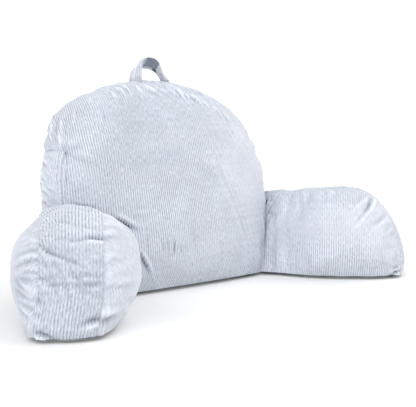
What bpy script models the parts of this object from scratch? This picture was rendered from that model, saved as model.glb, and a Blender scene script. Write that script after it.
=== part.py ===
"""Reading pillow with arms: a domed backrest, two splayed D-shaped arms and a strap handle, as solids.

Units are metres, Z is up and the front faces -Y. Every cushion is a closed body whose outer surface
follows the sewn cover: crowned panels, a bulging side strip and drawn-in seams, with its main folds.
"""

import math
from typing import NamedTuple

import bpy
import numpy as np
from mathutils import Vector
from mathutils.bvhtree import BVHTree

# ---- Backrest ------------------------------------------------------------------------------------
BACKREST_HEIGHT = 0.470
FRONT_PLANE = (-0.012, 0.270, -0.240)   # depth of a seam: at the floor, per metre up, per metre squared
BACK_PLANE = (0.108, 0.145, 0.0)
FRONT_SEAM = (             # height, half width
    (0.000, 0.250), (0.050, 0.267), (0.100, 0.282), (0.150, 0.295), (0.190, 0.302), (0.230, 0.302),
    (0.270, 0.298), (0.312, 0.286), (0.352, 0.266), (0.388, 0.237), (0.425, 0.191), (0.452, 0.126),
    (0.466, 0.055),
)
BACK_SEAM = (              # share of the height, half width
    (0.000, 0.256), (0.105, 0.270), (0.210, 0.281), (0.315, 0.288), (0.400, 0.291), (0.485, 0.289),
    (0.575, 0.283), (0.665, 0.273), (0.745, 0.264), (0.825, 0.248), (0.900, 0.204), (0.962, 0.116),
    (0.992, 0.042),
)
BACK_HEIGHT = 0.458
FRONT_CROWN = 0.070
BACK_CROWN = 0.046
CROWN_PEAK = 0.30          # height of the fullest part of the front, as a share of the whole
STRIP_BULGE = 0.012
SIDE_HEIGHT = 0.190        # up to here an arm is sewn to the gusset
GUSSET_TOP = 0.314         # above this the front cloth runs over to the back without a seam

# ---- Arms ----------------------------------------------------------------------------------------
ARM_LENGTH = 0.340
ARM_STRIP = 0.112          # width of the strip over the top and front end
ARM_TILT = 0.008           # how far the inner seam stands above the middle of the top
ARM_FOOT_TUCK = 0.003      # how far each side draws in at the front foot
INNER_BASE = 0.40          # share of the crown that is left where a panel meets the floor
OUTER_BASE = 0.08
SEAM_GAP = 0.0005          # between the arms and the gusset they are sewn to
ARM_TIP = (                # share of the length, share of the height: the front end of both arms
    (0.66, 1.01), (0.74, 0.975), (0.82, 0.890), (0.89, 0.760), (0.94, 0.605), (0.98, 0.40), (1.00, 0.19),
    (0.99, 0.00),
)
LEFT_TOP = ((0.00, 0.92), (0.06, 0.955), (0.20, 0.975), (0.42, 1.00), (0.56, 1.015)) + ARM_TIP
RIGHT_TOP = ((0.00, 0.905), (0.05, 0.955), (0.12, 0.985), (0.20, 0.970), (0.31, 0.975), (0.43, 0.995),
             (0.56, 1.015)) + ARM_TIP

# ---- Handle --------------------------------------------------------------------------------------
HANDLE_DEPTH = 0.105       # how far back on the top strip the loop stands
HANDLE_FOOT_GAP = 0.0009
HANDLE_LEAN = math.radians(8.0)
HANDLE_STATIONS = (        # x, height above the backrest, width, thickness, twist in degrees
    (-0.058, 0.000, 0.040, 0.014, 0.0), (-0.055, 0.010, 0.039, 0.013, 0.0),
    (-0.050, 0.021, 0.038, 0.011, 5.0), (-0.042, 0.031, 0.036, 0.009, 14.0),
    (-0.032, 0.038, 0.035, 0.008, 24.0), (-0.019, 0.041, 0.035, 0.007, 30.0),
    (-0.005, 0.041, 0.035, 0.007, 30.0), (0.005, 0.037, 0.034, 0.008, 24.0),
    (0.012, 0.029, 0.033, 0.009, 14.0), (0.018, 0.019, 0.032, 0.011, 5.0),
    (0.023, 0.009, 0.032, 0.012, 0.0), (0.029, 0.000, 0.032, 0.014, 0.0),
)

# ---- Mesh density --------------------------------------------------------------------------------
SIDE_ROWS = 13             # rows of the seam between an arm and the gusset
STRIP_COLUMNS = 7
DOME_STEPS = 54
BASE_STEPS = 26
PANEL_RINGS = 9
ARM_TOP_STEPS = 44
ARM_BASE_STEPS = 18
ARM_RINGS = 8
STRAP_SIDES = 14

# ---- Folds: place on the panel (two coordinates), direction in degrees, half length, half width, depth
BACKREST_FOLDS = (         # x, height
    (-0.172, 0.152, -33.0, 0.026, 0.010, 0.007), (-0.142, 0.074, -58.0, 0.032, 0.010, 0.005),
    (-0.262, 0.300, 55.0, 0.032, 0.012, 0.004), (0.086, 0.426, -38.0, 0.040, 0.010, 0.004),
    (0.046, 0.436, -40.0, 0.040, 0.010, 0.004),
)
LEFT_TIP_FOLDS = (         # distance across the strip from the inner seam, distance along it from the rear
    (0.014, 0.303, 9.0, 0.032, 0.009, 0.006), (0.080, 0.329, -32.0, 0.044, 0.009, 0.006),
    (0.040, 0.384, 2.0, 0.036, 0.009, 0.004), (0.014, 0.439, 3.0, 0.024, 0.010, 0.009),
    (0.088, 0.460, -12.0, 0.026, 0.010, 0.009),
)
LEFT_INNER_FOLDS = (       # distance from the rear, height
    (0.278, 0.164, 6.0, 0.034, 0.009, 0.005), (0.325, 0.033, 8.0, 0.030, 0.011, 0.008),
)
RIGHT_INNER_FOLDS = (
    (0.012, 0.172, 60.0, 0.026, 0.010, 0.004), (0.252, 0.166, 54.0, 0.028, 0.009, 0.006),
    (0.284, 0.141, 36.0, 0.020, 0.009, 0.005),
)


class ArmShape(NamedTuple):
    """The sizes in which the two arms differ."""

    name: str
    mirrored: bool
    splay: float           # turn outwards from straight ahead
    height: float
    top: tuple
    crown_in: float
    crown_out: float
    bulge_top: float       # swell of the strip over the top
    bulge_tip: float       # and down the front end
    lean: float            # how far the top leans inwards over the foot
    tip_folds: tuple
    inner_folds: tuple


RIGHT_ARM = ArmShape("arm_right", False, math.radians(40.0), 0.209, RIGHT_TOP, crown_in=0.076,
                     crown_out=0.045, bulge_top=0.004, bulge_tip=0.011, lean=0.0,
                     tip_folds=(), inner_folds=RIGHT_INNER_FOLDS)
LEFT_ARM = ArmShape("arm_left", True, math.radians(34.5), 0.193, LEFT_TOP, crown_in=0.068,
                    crown_out=0.054, bulge_top=0.0155, bulge_tip=0.015, lean=0.012,
                    tip_folds=LEFT_TIP_FOLDS, inner_folds=LEFT_INNER_FOLDS)


def smooth_path(rows, steps=24):
    """Points on a smooth curve through the rows."""
    p = np.asarray(rows, float)
    q = np.vstack([2 * p[0] - p[1], p, 2 * p[-1] - p[-2]])
    t = np.linspace(0.0, 1.0, steps, endpoint=False)[:, None]
    parts = []
    for a, b, c, d in zip(q[:-3], q[1:-2], q[2:-1], q[3:]):
        parts.append(0.5 * (2 * b + (c - a) * t + (2 * a - 5 * b + 4 * c - d) * t ** 2
                            + (3 * b - 3 * c + d - a) * t ** 3))
    parts.append(p[-1:])
    return np.vstack(parts)


def evenly(path, count):
    """The path again with `count` points an equal distance apart."""
    run = np.concatenate([[0.0], np.cumsum(np.linalg.norm(np.diff(path, axis=0), axis=1))])
    at = np.linspace(0.0, run[-1], count)
    return np.stack([np.interp(at, run, column) for column in path.T], axis=-1)


def lerp(a, b, t):
    return a * (1.0 - t) + b * t


def ease(t):
    t = np.clip(t, 0.0, 1.0)
    return t * t * (3.0 - 2.0 * t)


def fold_depth(u, v, folds):
    """How far the cover is drawn in at (u, v) by a table of folds."""
    u, v = np.broadcast_arrays(np.asarray(u, float), np.asarray(v, float))
    total = np.zeros(u.shape)
    for fu, fv, turn, half_length, half_width, depth in folds:
        c, s = math.cos(math.radians(turn)), math.sin(math.radians(turn))
        along = (u - fu) * c + (v - fv) * s
        across = (v - fv) * c - (u - fu) * s
        total += depth * np.exp(-(along / half_length) ** 2 - (across / half_width) ** 2)
    return total


# ---- Backrest surfaces ---------------------------------------------------------------------------
class Seam:
    """One of the two long seams of the backrest: an outline in height and half width on a leaning plane."""

    def __init__(self, rows, height, plane):
        self.height, self.plane = height, plane
        half = [(w, z) for z, w in rows]
        mirrored = half + [(0.0, height)] + [(-w, z) for w, z in half[::-1]]
        self.path = smooth_path(mirrored)
        self.half = self.path[: len(self.path) // 2 + 1]

    def width(self, z):
        return np.interp(z, self.half[:, 1], self.half[:, 0])

    def depth(self, z):
        return self.plane[0] + self.plane[1] * z + self.plane[2] * z * z

    def side(self, z):
        """The seam on the right-hand side at the given heights."""
        return np.stack([self.width(z), self.depth(z), z], -1)

    def loop(self):
        """The whole seam as (x, height): up the right, over the top, down the left, back along the base."""
        rows = np.linspace(0.0, SIDE_HEIGHT, SIDE_ROWS)
        right = np.stack([self.width(rows), rows], -1)
        left = right[::-1] * (-1.0, 1.0)
        over = self.path[self.path[:, 1] > SIDE_HEIGHT]
        dome = evenly(np.vstack([right[-1:], over, left[:1]]), DOME_STEPS + 1)
        base_x = np.linspace(left[-1, 0], right[0, 0], BASE_STEPS + 1)[1:-1]
        base = np.stack([base_x, np.zeros_like(base_x)], -1)
        return np.vstack([right, dome[1:-1], left, base])

    def crown(self, x, z):
        """Fullness of the panel inside the seam, from 0 on the seam to 1 where it is fullest."""
        across = np.clip(np.abs(x) / np.maximum(self.width(z), 1e-4), 0.0, 1.0)
        share = np.clip(z / self.height, 0.0, 1.0)
        above = np.clip((share - CROWN_PEAK) / (1.0 - CROWN_PEAK), 0.0, 1.0)
        below = np.clip((CROWN_PEAK - share) / CROWN_PEAK, 0.0, 1.0)
        rise = np.where(share > CROWN_PEAK, (1.0 - above ** 2.3) ** 0.7, 1.0 - below ** 2.6)
        edge = lerp(1.0, 0.62, ease((z - 0.13) / 0.14))
        return (1.0 - across ** 2.8) ** edge * rise


FRONT = Seam(FRONT_SEAM, BACKREST_HEIGHT, FRONT_PLANE)
BACK = Seam([(share * BACK_HEIGHT, w) for share, w in BACK_SEAM], BACK_HEIGHT, BACK_PLANE)


def front_point(x, z):
    y = FRONT.depth(z) - FRONT_CROWN * FRONT.crown(x, z) + fold_depth(x, z, BACKREST_FOLDS)
    return np.stack([x, y, z], -1)


def back_point(x, z):
    return np.stack([x, BACK.depth(z) + BACK_CROWN * BACK.crown(x, z), z], -1)


def panel_rings(loop, centre, count):
    """Rings shrinking from a seam loop towards a centre; the last ring is the centre itself."""
    shares = 1.0 - (np.arange(1, count) / count) ** 1.45
    return [centre + (loop - centre) * s for s in shares]


class Skin:
    """Collects the vertices and faces of one closed body."""

    def __init__(self):
        self.points = []
        self.faces = []

    def row(self, points):
        start = len(self.points)
        self.points.extend(tuple(float(c) for c in p) for p in points)
        return list(range(start, start + len(points)))

    def join(self, first, second, closed=True, flip=False):
        """Faces between two rows of the same length."""
        n = len(first)
        for i in range(n if closed else n - 1):
            j = (i + 1) % n
            quad = (first[i], first[j], second[j], second[i])
            self.faces.append(quad[::-1] if flip else quad)

    def fan(self, row, tip, flip=False):
        n = len(row)
        for i in range(n):
            tri = (row[i], row[(i + 1) % n], tip)
            self.faces.append(tri[::-1] if flip else tri)

    def build(self, name, material):
        mesh = bpy.data.meshes.new(name)
        mesh.from_pydata(self.points, [], self.faces)
        mesh.update()
        mesh.polygons.foreach_set("use_smooth", [True] * len(mesh.polygons))
        mesh.materials.append(material)
        body = bpy.data.objects.new(name, mesh)
        bpy.context.scene.collection.objects.link(body)
        return body


def fabric(name, colour):
    """A matt, softly ribbed plush."""
    material = bpy.data.materials.new(name)
    material.use_nodes = True
    shader = material.node_tree.nodes["Principled BSDF"]
    shader.inputs["Base Color"].default_value = (*colour, 1.0)
    shader.inputs["Roughness"].default_value = 0.9
    shader.inputs["Metallic"].default_value = 0.0
    return material


def side_point(height, share):
    """A point of the right-hand gusset, `share` of the way from its front to its back seam."""
    z = np.asarray(height, float)
    return lerp(FRONT.side(z), BACK.side(z), share)


def soften_top(rings, strip, height):
    """Rounds the front outline above the gussets, where the cloth runs over it without a seam."""
    rows = [rings[1], rings[0], *strip[:3]]
    weight = 0.8 * ease((height - GUSSET_TOP) / 0.05)[:, None]
    for _ in range(3):
        for k in (1, 2, 3):
            rows[k] = lerp(rows[k], 0.5 * (rows[k - 1] + rows[k + 1]), weight)
    rings[0], strip[0], strip[1] = rows[1], rows[2], rows[3]


def build_backrest(material):
    skin = Skin()
    front_loop, back_loop = FRONT.loop(), BACK.loop()
    count = len(front_loop)
    front_edge = np.stack([front_loop[:, 0], FRONT.depth(front_loop[:, 1]), front_loop[:, 1]], -1)
    back_edge = np.stack([back_loop[:, 0], BACK.depth(back_loop[:, 1]), back_loop[:, 1]], -1)
    turn = np.roll(front_loop, -1, 0) - np.roll(front_loop, 1, 0)
    outward = np.stack([turn[:, 1], np.zeros(count), -turn[:, 0]], -1)
    outward /= np.linalg.norm(outward, axis=1)[:, None]
    index = np.arange(count)
    first, last = SIDE_ROWS - 1, SIDE_ROWS - 1 + DOME_STEPS
    free = ease(np.minimum(index - first, last - index) / 5.0)

    strip = []
    for share in np.linspace(0.0, 1.0, STRIP_COLUMNS + 1):
        swell = STRIP_BULGE * 4.0 * share * (1.0 - share) * free
        strip.append(lerp(front_edge, back_edge, share) + outward * swell[:, None])
    centres = [np.array([0.0, 0.42 * height]) for height in (BACKREST_HEIGHT, BACK_HEIGHT)]
    front = [front_point(*ring.T) for ring in panel_rings(front_loop, centres[0], PANEL_RINGS)]
    back = [back_point(*ring.T) for ring in panel_rings(back_loop, centres[1], PANEL_RINGS)]
    soften_top(front, strip, front_loop[:, 1])

    rows = [skin.row(points) for points in strip]
    for a, b in zip(rows, rows[1:]):
        skin.join(a, b, flip=True)
    for edge, rings, tip, flip in ((rows[0], front, front_point(*centres[0]), False),
                                   (rows[-1], back, back_point(*centres[1]), True)):
        previous = edge
        for ring in rings:
            current = skin.row(ring)
            skin.join(previous, current, flip=flip)
            previous = current
        skin.fan(previous, skin.row([tip])[0], flip=flip)
    return skin.build("backrest", material)


# ---- Arm surfaces --------------------------------------------------------------------------------
def arm_top(arm):
    """The seam over the top and down the front end, as (distance from the rear, height)."""
    return smooth_path(np.asarray(arm.top) * (ARM_LENGTH, arm.height))


def arm_loop(arm):
    """The seam round an arm panel: up the rear, over the top, down the front end, back along the base."""
    rear = np.stack([np.zeros(SIDE_ROWS), np.linspace(0.0, arm.top[0][1] * arm.height, SIDE_ROWS)], -1)
    top = evenly(arm_top(arm), ARM_TOP_STEPS + 1)
    back = np.linspace(top[-1, 0], 0.0, ARM_BASE_STEPS + 1)[1:-1]
    return np.vstack([rear, top[1:], np.stack([back, np.zeros_like(back)], -1)])


def arm_fullness(arm, s, z, base):
    """Fullness of an arm panel, from 0 on its seam to about 1; at the floor it is `base` of that."""
    top = arm_top(arm)
    top = top[: int(np.argmax(top[:, 0])) + 1]
    share = np.clip(z / np.maximum(np.interp(s, top[:, 0], top[:, 1]), 1e-4), 0.0, 1.0)
    along = np.clip(s / ARM_LENGTH, 0.0, 1.0)
    rise = 1.0 - np.abs(2.0 * share ** 0.97 - 1.0) ** 3.1
    rise = np.where(share < 0.45, base + (1.0 - base) * rise, rise)
    rear = ease(0.06 + along / 0.48) - ease(0.06) * (1.0 - along)
    tip = (1.0 - np.clip((along - 0.48) / 0.52, 0.0, 1.0) ** 2.8) ** 0.85
    return rise * rear * tip


def arm_frame(splay):
    """Directions along the arm and outwards, in plan."""
    along = np.array([math.sin(splay), -math.cos(splay), 0.0])
    outwards = np.array([math.cos(splay), math.sin(splay), 0.0])
    return along, outwards


def arm_points(arm, s, z, share, swell=0.0):
    """Right-hand arm: points `share` of the way from the inner to the outer seam, swollen outwards."""
    s, z = np.asarray(s, float), np.asarray(z, float)
    along, outwards = arm_frame(arm.splay)
    reach = (s / ARM_LENGTH)[..., None]
    drawn = ARM_FOOT_TUCK * np.clip(1.0 - z / 0.045, 0.0, 1.0) ** 2 * ease(s / ARM_LENGTH / 0.5)
    share = 0.5 + (share - 0.5) * (1.0 - 2.0 * drawn / ARM_STRIP)
    rear_in, rear_out = side_point(z, 0.0), side_point(z, 1.0)
    foot = side_point(np.zeros_like(z), 0.0) + z[..., None] * (0.0, 0.0, 1.0)
    line_in = lerp(rear_in, foot, ease(reach / 0.5)) + s[..., None] * along
    elbow = foot + outwards * ARM_STRIP * 1.10 + 0.18 * ARM_LENGTH * along
    tip_out = foot + outwards * ARM_STRIP + ARM_LENGTH * along
    line_out = rear_out * (1.0 - reach) ** 2 + 2.0 * elbow * reach * (1.0 - reach) + tip_out * reach ** 2
    leaning = arm.lean * ease(z / 0.10) * ease(s / ARM_LENGTH / 0.6)
    point = lerp(line_in, line_out, share[..., None]) + outwards * (swell - leaning)[..., None]
    point[..., 0] += SEAM_GAP
    point[..., 2] += ARM_TILT * (1.0 - 2.0 * share) * (z / arm.height) ** 2 * ease(s / ARM_LENGTH / 0.25)
    return point


def arm_strip(arm, loop):
    """Rows of points across the arm from the inner to the outer seam, all round its outline."""
    s, z = loop.T
    run = np.concatenate([[0.0], np.cumsum(np.linalg.norm(np.diff(loop, axis=0), axis=1))])
    turn = np.roll(loop, -1, 0) - np.roll(loop, 1, 0)
    normal = np.stack([-turn[:, 1], turn[:, 0]], -1)
    normal /= np.linalg.norm(normal, axis=1)[:, None]
    along, _ = arm_frame(arm.splay)
    away = normal[:, :1] * along + normal[:, 1:] * np.array([0.0, 0.0, 1.0])
    index = np.arange(len(loop))
    first, last = SIDE_ROWS - 1, SIDE_ROWS - 1 + ARM_TOP_STEPS
    free = ease((index - first) / 8.0) * ease((last - index) / 4.5)
    free[index > last] = 0.0
    bulge = lerp(arm.bulge_top, arm.bulge_tip, ease(((index - first) / ARM_TOP_STEPS - 0.50) / 0.25))
    inner = -arm.crown_in * arm_fullness(arm, s, z, INNER_BASE)
    outer = arm.crown_out * arm_fullness(arm, s, z, OUTER_BASE)
    rows = []
    for share in np.linspace(0.0, 1.0, STRIP_COLUMNS + 1):
        round_off = 4.0 * share * (1.0 - share)
        drawn = fold_depth(share * ARM_STRIP, run - run[first], arm.tip_folds)
        swell = (bulge * round_off - drawn * round_off ** 0.5) * free
        rows.append(arm_points(arm, s, z, share, lerp(inner, outer, share)) + away * swell[:, None])
    return rows


def build_arm(arm, material):
    skin = Skin()
    loop = arm_loop(arm)
    rows = [skin.row(points) for points in arm_strip(arm, loop)]
    for a, b in zip(rows, rows[1:]):
        skin.join(a, b)
    centre = np.array([0.46 * ARM_LENGTH, 0.5 * arm.height])
    panels = ((rows[0], 0.0, -arm.crown_in, INNER_BASE, arm.inner_folds, True),
              (rows[-1], 1.0, arm.crown_out, OUTER_BASE, (), False))
    for edge, share, crown, base, folds, flip in panels:
        previous = edge
        for ring in panel_rings(loop, centre, ARM_RINGS):
            s, z = ring.T
            swell = arm_fullness(arm, s, z, base) * crown + fold_depth(s, z, folds)
            current = skin.row(arm_points(arm, s, z, share, swell))
            skin.join(previous, current, flip=flip)
            previous = current
        s, z = centre[None, :].T
        tip = arm_points(arm, s, z, share, arm_fullness(arm, s, z, base) * crown)
        skin.fan(previous, skin.row(tip)[0], flip=flip)
    if arm.mirrored:
        skin.points = [(-x, y, z) for x, y, z in skin.points]
        skin.faces = [face[::-1] for face in skin.faces]
    return skin.build(arm.name, material)


# ---- Handle --------------------------------------------------------------------------------------
def stand_on(surface, points):
    """The points moved straight down or up to just above a surface."""
    placed = np.array(points, float)
    for point in placed:
        hit = surface.ray_cast(Vector((point[0], point[1], 1.0)), Vector((0.0, 0.0, -1.0)))[0]
        point[2] = hit.z + HANDLE_FOOT_GAP
    return placed


def build_handle(backrest, material):
    """A padded strap bent into a loop; its two ends stand on the top strip of the backrest."""
    skin = Skin()
    surface = BVHTree.FromPolygons([tuple(v.co) for v in backrest.data.vertices],
                                   [tuple(face.vertices) for face in backrest.data.polygons])
    lean = np.array([0.0, math.sin(HANDLE_LEAN), math.cos(HANDLE_LEAN)])
    stations = np.asarray(HANDLE_STATIONS)
    base = stand_on(surface, [(0.0, HANDLE_DEPTH, 0.0)])[0]
    centres = base + stations[:, :1] * (1.0, 0.0, 0.0) + stations[:, 1:2] * lean
    rounds = np.arange(STRAP_SIDES) * 2.0 * math.pi / STRAP_SIDES
    rows = []
    for k, (_, _, width, thickness, twist) in enumerate(HANDLE_STATIONS):
        ahead = centres[min(k + 1, len(centres) - 1)] - centres[max(k - 1, 0)]
        end = k in (0, len(centres) - 1)
        tangent = lean * (1.0 if k == 0 else -1.0) if end else ahead / np.linalg.norm(ahead)
        wide = np.cross((1.0, 0.0, 0.0), lean)
        wide = wide - tangent * (wide @ tangent)
        thick = np.cross(tangent, wide)
        turn = math.radians(twist)
        cosine, sine = math.cos(turn), math.sin(turn)
        wide, thick = wide * cosine - thick * sine, thick * cosine + wide * sine
        flat = np.sign(np.cos(rounds)) * np.abs(np.cos(rounds)) ** 0.75
        full = np.sign(np.sin(rounds)) * np.abs(np.sin(rounds)) ** 0.75
        ring = centres[k] + flat[:, None] * wide * width / 2.0 + full[:, None] * thick * thickness / 2.0
        rows.append(skin.row(stand_on(surface, ring) if end else ring))
    for a, b in zip(rows, rows[1:]):
        skin.join(a, b)
    for foot_row, flip in ((rows[0], True), (rows[-1], False)):
        edge = np.array([skin.points[i] for i in foot_row])
        middle = edge.mean(axis=0)
        previous = foot_row
        for share in (0.66, 0.33):
            current = skin.row(stand_on(surface, lerp(middle, edge, share)))
            skin.join(previous, current, flip=flip)
            previous = current
        skin.fan(previous, skin.row(stand_on(surface, middle[None, :]))[0], flip=flip)
    return skin.build("handle", material)


def centre_on_base(bodies):
    """Puts the origin at the middle of the base of the whole object."""
    corners = np.array([v.co for body in bodies for v in body.data.vertices])
    low, high = corners.min(axis=0), corners.max(axis=0)
    shift = Vector((-(low[0] + high[0]) / 2.0, -(low[1] + high[1]) / 2.0, -low[2]))
    for body in bodies:
        body.location = shift


def main():
    for old in list(bpy.data.objects):
        bpy.data.objects.remove(old, do_unlink=True)
    plush = fabric("pale_blue_plush", (0.62, 0.68, 0.77))
    backrest = build_backrest(plush)
    arms = [build_arm(RIGHT_ARM, plush), build_arm(LEFT_ARM, plush)]
    centre_on_base([backrest, *arms, build_handle(backrest, plush)])


main()
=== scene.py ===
"""Visual model of a reading pillow with arms, covered in pale blue-grey ribbed plush.

Every cushion is one closed cover: crowned panels and a bulging strip, each a grid of points whose columns
follow the ribs of the cloth, sewn together at drawn-in seams. Lengths are metres unless a name or a comment
says otherwise, Z is up and the front faces -Y.
"""

import logging
import math
from dataclasses import dataclass, field
from enum import Enum
from typing import Callable, ClassVar, Self

import bmesh
import bpy
import numpy as np
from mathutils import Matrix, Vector
from mathutils.bvhtree import BVHTree
from mathutils.kdtree import KDTree


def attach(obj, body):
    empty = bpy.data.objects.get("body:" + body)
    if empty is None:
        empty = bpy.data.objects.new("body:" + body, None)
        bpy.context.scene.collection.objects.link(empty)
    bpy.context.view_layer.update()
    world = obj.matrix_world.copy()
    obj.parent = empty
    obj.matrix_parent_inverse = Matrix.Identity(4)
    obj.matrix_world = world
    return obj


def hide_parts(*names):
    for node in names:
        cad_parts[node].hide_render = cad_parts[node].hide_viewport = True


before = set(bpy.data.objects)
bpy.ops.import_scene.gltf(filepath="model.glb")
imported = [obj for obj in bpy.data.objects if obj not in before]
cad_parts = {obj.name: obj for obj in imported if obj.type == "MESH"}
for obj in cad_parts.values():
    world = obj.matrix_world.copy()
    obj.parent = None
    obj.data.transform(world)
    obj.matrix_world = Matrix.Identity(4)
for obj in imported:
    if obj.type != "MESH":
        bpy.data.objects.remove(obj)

Array = np.ndarray
LOG = logging.getLogger("reading_pillow")

ORIGIN = np.array([-0.01042, 0.05210, 0.0])   # what moves the backrest's own coordinates to the part's
RIB_PITCH = 0.0055                            # wide-rib plush
COLUMNS_A_RIB = 4
COLUMN_STEP = RIB_PITCH / COLUMNS_A_RIB
FOLD_STRENGTH = 1.35                          # what the depths read from the photo are multiplied by
FLAT_SHADE = 0.36                             # of flat nap, from 0 as a rib to 1 as the ground between ribs
PANEL_WAIST = 0.42                            # share of a panel's height at which it is measured
STRIP_INSET = 0.004                           # share of its width that a strip stays clear of its seams
BASE_LIFT = 0.0085                            # height of the lowest edge, where the cover turns under
BASE_RINGS = ((0.0015, 0.0072), (0.012, 0.0006))    # under that edge: how far each draws in, its height
UP = np.array([0.0, 0.0, 1.0])


# ---- Small helpers ----
def lerp(a: Array, b: Array, t: Array) -> Array:
    """Straight blend from a to b."""
    return a * (1.0 - t) + b * t


def ease(t: Array) -> Array:
    """Smooth step from 0 to 1."""
    t = np.clip(t, 0.0, 1.0)
    return t * t * (3.0 - 2.0 * t)


def smooth_path(rows: Array, steps: int = 24) -> Array:
    """Points on a smooth curve through the rows.

    Args:
        rows: One point a row.
        steps: Points for each stretch between two rows.

    Returns:
        The curve, one point a row, first and last row included.
    """
    p = np.asarray(rows, float)
    q = np.vstack([2 * p[0] - p[1], p, 2 * p[-1] - p[-2]])
    t = np.linspace(0.0, 1.0, steps, endpoint=False)[:, None]
    parts = []
    for a, b, c, d in zip(q[:-3], q[1:-2], q[2:-1], q[3:]):
        parts.append(0.5 * (2 * b + (c - a) * t + (2 * a - 5 * b + 4 * c - d) * t ** 2
                            + (3 * b - 3 * c + d - a) * t ** 3))
    parts.append(p[-1:])
    return np.vstack(parts)


def run_along(path: Array) -> Array:
    """Distance along a path at each of its points."""
    return np.concatenate([[0.0], np.cumsum(np.linalg.norm(np.diff(path, axis=0), axis=1))])


def evenly(path: Array, count: int) -> Array:
    """The path again with its points an equal distance apart.

    Args:
        path: One point a row.
        count: Number of points.

    Returns:
        The new points, one a row.
    """
    run = run_along(path)
    at = np.linspace(0.0, run[-1], count)
    return np.stack([np.interp(at, run, column) for column in path.T], axis=-1)


def graded(count: int, closer: float = 0.55) -> Array:
    """Shares from 0 to 1 that lie closer together towards both ends."""
    t = np.linspace(0.0, 1.0, count)
    return lerp(t, 0.5 - 0.5 * np.cos(math.pi * t), closer)


def facing(points: Array) -> Array:
    """Unit normals of a grid of points, columns crossed with rows."""
    normal = np.cross(np.gradient(points, axis=1), np.gradient(points, axis=0))
    return normal / np.maximum(np.linalg.norm(normal, axis=-1, keepdims=True), 1e-12)


def grid_faces(index: Array) -> Array:
    """Corners of the faces between the points of a grid, from the index of each point."""
    return np.stack([index[:-1, :-1], index[:-1, 1:], index[1:, 1:], index[1:, :-1]], -1).reshape(-1, 4)


def outward_of(loop: Array) -> Array:
    """Unit vectors out of an outline, in its plane.

    Args:
        loop: One point of the outline a row, in two coordinates.

    Returns:
        One vector a row.
    """
    turn = np.gradient(loop, axis=0)
    out = np.stack([turn[:, 1], -turn[:, 0]], -1)
    return out / np.linalg.norm(out, axis=1)[:, None]


def uneven(t: Array, spacing: float, seed: float) -> Array:
    """A wave whose strength and spacing wander.

    Args:
        t: Places.
        spacing: About the distance between two crests.
        seed: Picks one such wave.

    Returns:
        Its height at each place, from -1 to 1.
    """
    phase = 2.0 * math.pi * t / spacing
    wander = 1.3 * np.sin(phase * 0.31 + seed) + 0.8 * np.sin(phase * 0.173 + 2.1 * seed)
    strength = 0.55 + 0.45 * np.sin(phase * 0.237 + 1.7 * seed)
    return np.sin(phase + wander) * strength


# ---- Folds and seams ----
class Placed:
    """Something that lies at one place on a panel."""

    in_mm: ClassVar[tuple[int, ...]] = ()     # the fields that a table states in millimetres

    @classmethod
    def table(cls, *rows: tuple[float, ...]) -> tuple[Self, ...]:
        """One of this kind for each row of its fields."""
        return tuple(cls(*(v / 1000.0 if k in cls.in_mm else v for k, v in enumerate(row))) for row in rows)


@dataclass(frozen=True)
class Fold(Placed):
    """One crease of a panel: a trough with a soft bank beside it, or a ridge where the depth is negative."""

    u: float                # place on the panel, in its own two coordinates
    v: float
    turn: float             # degrees from the first coordinate to the fold
    half_length: float
    half_width: float
    depth: float
    bank: float = 0.45      # height of the bank as a share of the depth, negative for the other side
    in_mm: ClassVar[tuple[int, ...]] = (0, 1, 3, 4, 5)

    def height(self, u: Array, v: Array) -> Array:
        """How far the cover stands out (or in, below 0) at places on the panel.

        Args:
            u: First coordinate.
            v: Second coordinate.

        Returns:
            Heights in metres.
        """
        c, s = math.cos(math.radians(self.turn)), math.sin(math.radians(self.turn))
        along = ((u - self.u) * c + (v - self.v) * s) / self.half_length
        across = ((v - self.v) * c - (u - self.u) * s) / self.half_width
        side = math.copysign(1.9, self.bank)
        trough = np.exp(-np.abs(across) ** 1.6)
        bank = abs(self.bank) * np.exp(-((across - side) / 1.25) ** 2)
        return FOLD_STRENGTH * self.depth * np.exp(-along ** 2) * (bank - trough)


@dataclass(frozen=True)
class NapAndShadePatch(Placed):
    """A soft-edged patch of flat nap where the ribs fade, or of raised nap where the share is negative.
    Its shade is painted into the ground between the ribs: painted shade above FLAT_SHADE, painted light below
    it.
    """

    u: float                # middle of the patch, in the panel's own two coordinates
    v: float
    half_u: float
    half_v: float
    share: float            # how far the ribs fade in the middle
    # how dark the ground between ribs is painted in the patch: painted shade or painted light against
    # FLAT_SHADE
    shade: float = FLAT_SHADE
    in_mm: ClassVar[tuple[int, ...]] = (0, 1, 2, 3)

    def left(self, u: Array, v: Array) -> Array:
        """Share of the ribs that is left at places on the panel.

        Args:
            u: First coordinate.
            v: Second coordinate.

        Returns:
            The share, above 1 where the nap is raised.
        """
        ragged = 0.35 * uneven(u + 0.4 * v, 0.023, self.u) + 0.35 * uneven(v, 0.017, self.v)
        distance = np.hypot((u - self.u) / self.half_u, (v - self.v) / self.half_v)
        return 1.0 - self.share * ease(1.6 - distance + ragged)


@dataclass(frozen=True)
class Puckers:
    """Small gathers that run away from a seam."""

    spacing: float = 0.021
    depth: float = 0.0014
    reach: float = 0.020
    slant: float = 0.6
    seed: float = 1.0

    def height(self, run: Array, distance: Array) -> Array:
        """How far the cover stands out beside the seam.

        Args:
            run: Distance along the seam.
            distance: Distance from the seam.

        Returns:
            Heights in metres.
        """
        wave = uneven(run + self.slant * distance, self.spacing, self.seed)
        fade = np.exp(-distance / self.reach) * (1.0 - np.exp(-(distance / 0.005) ** 2))
        return self.depth * wave * fade


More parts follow.
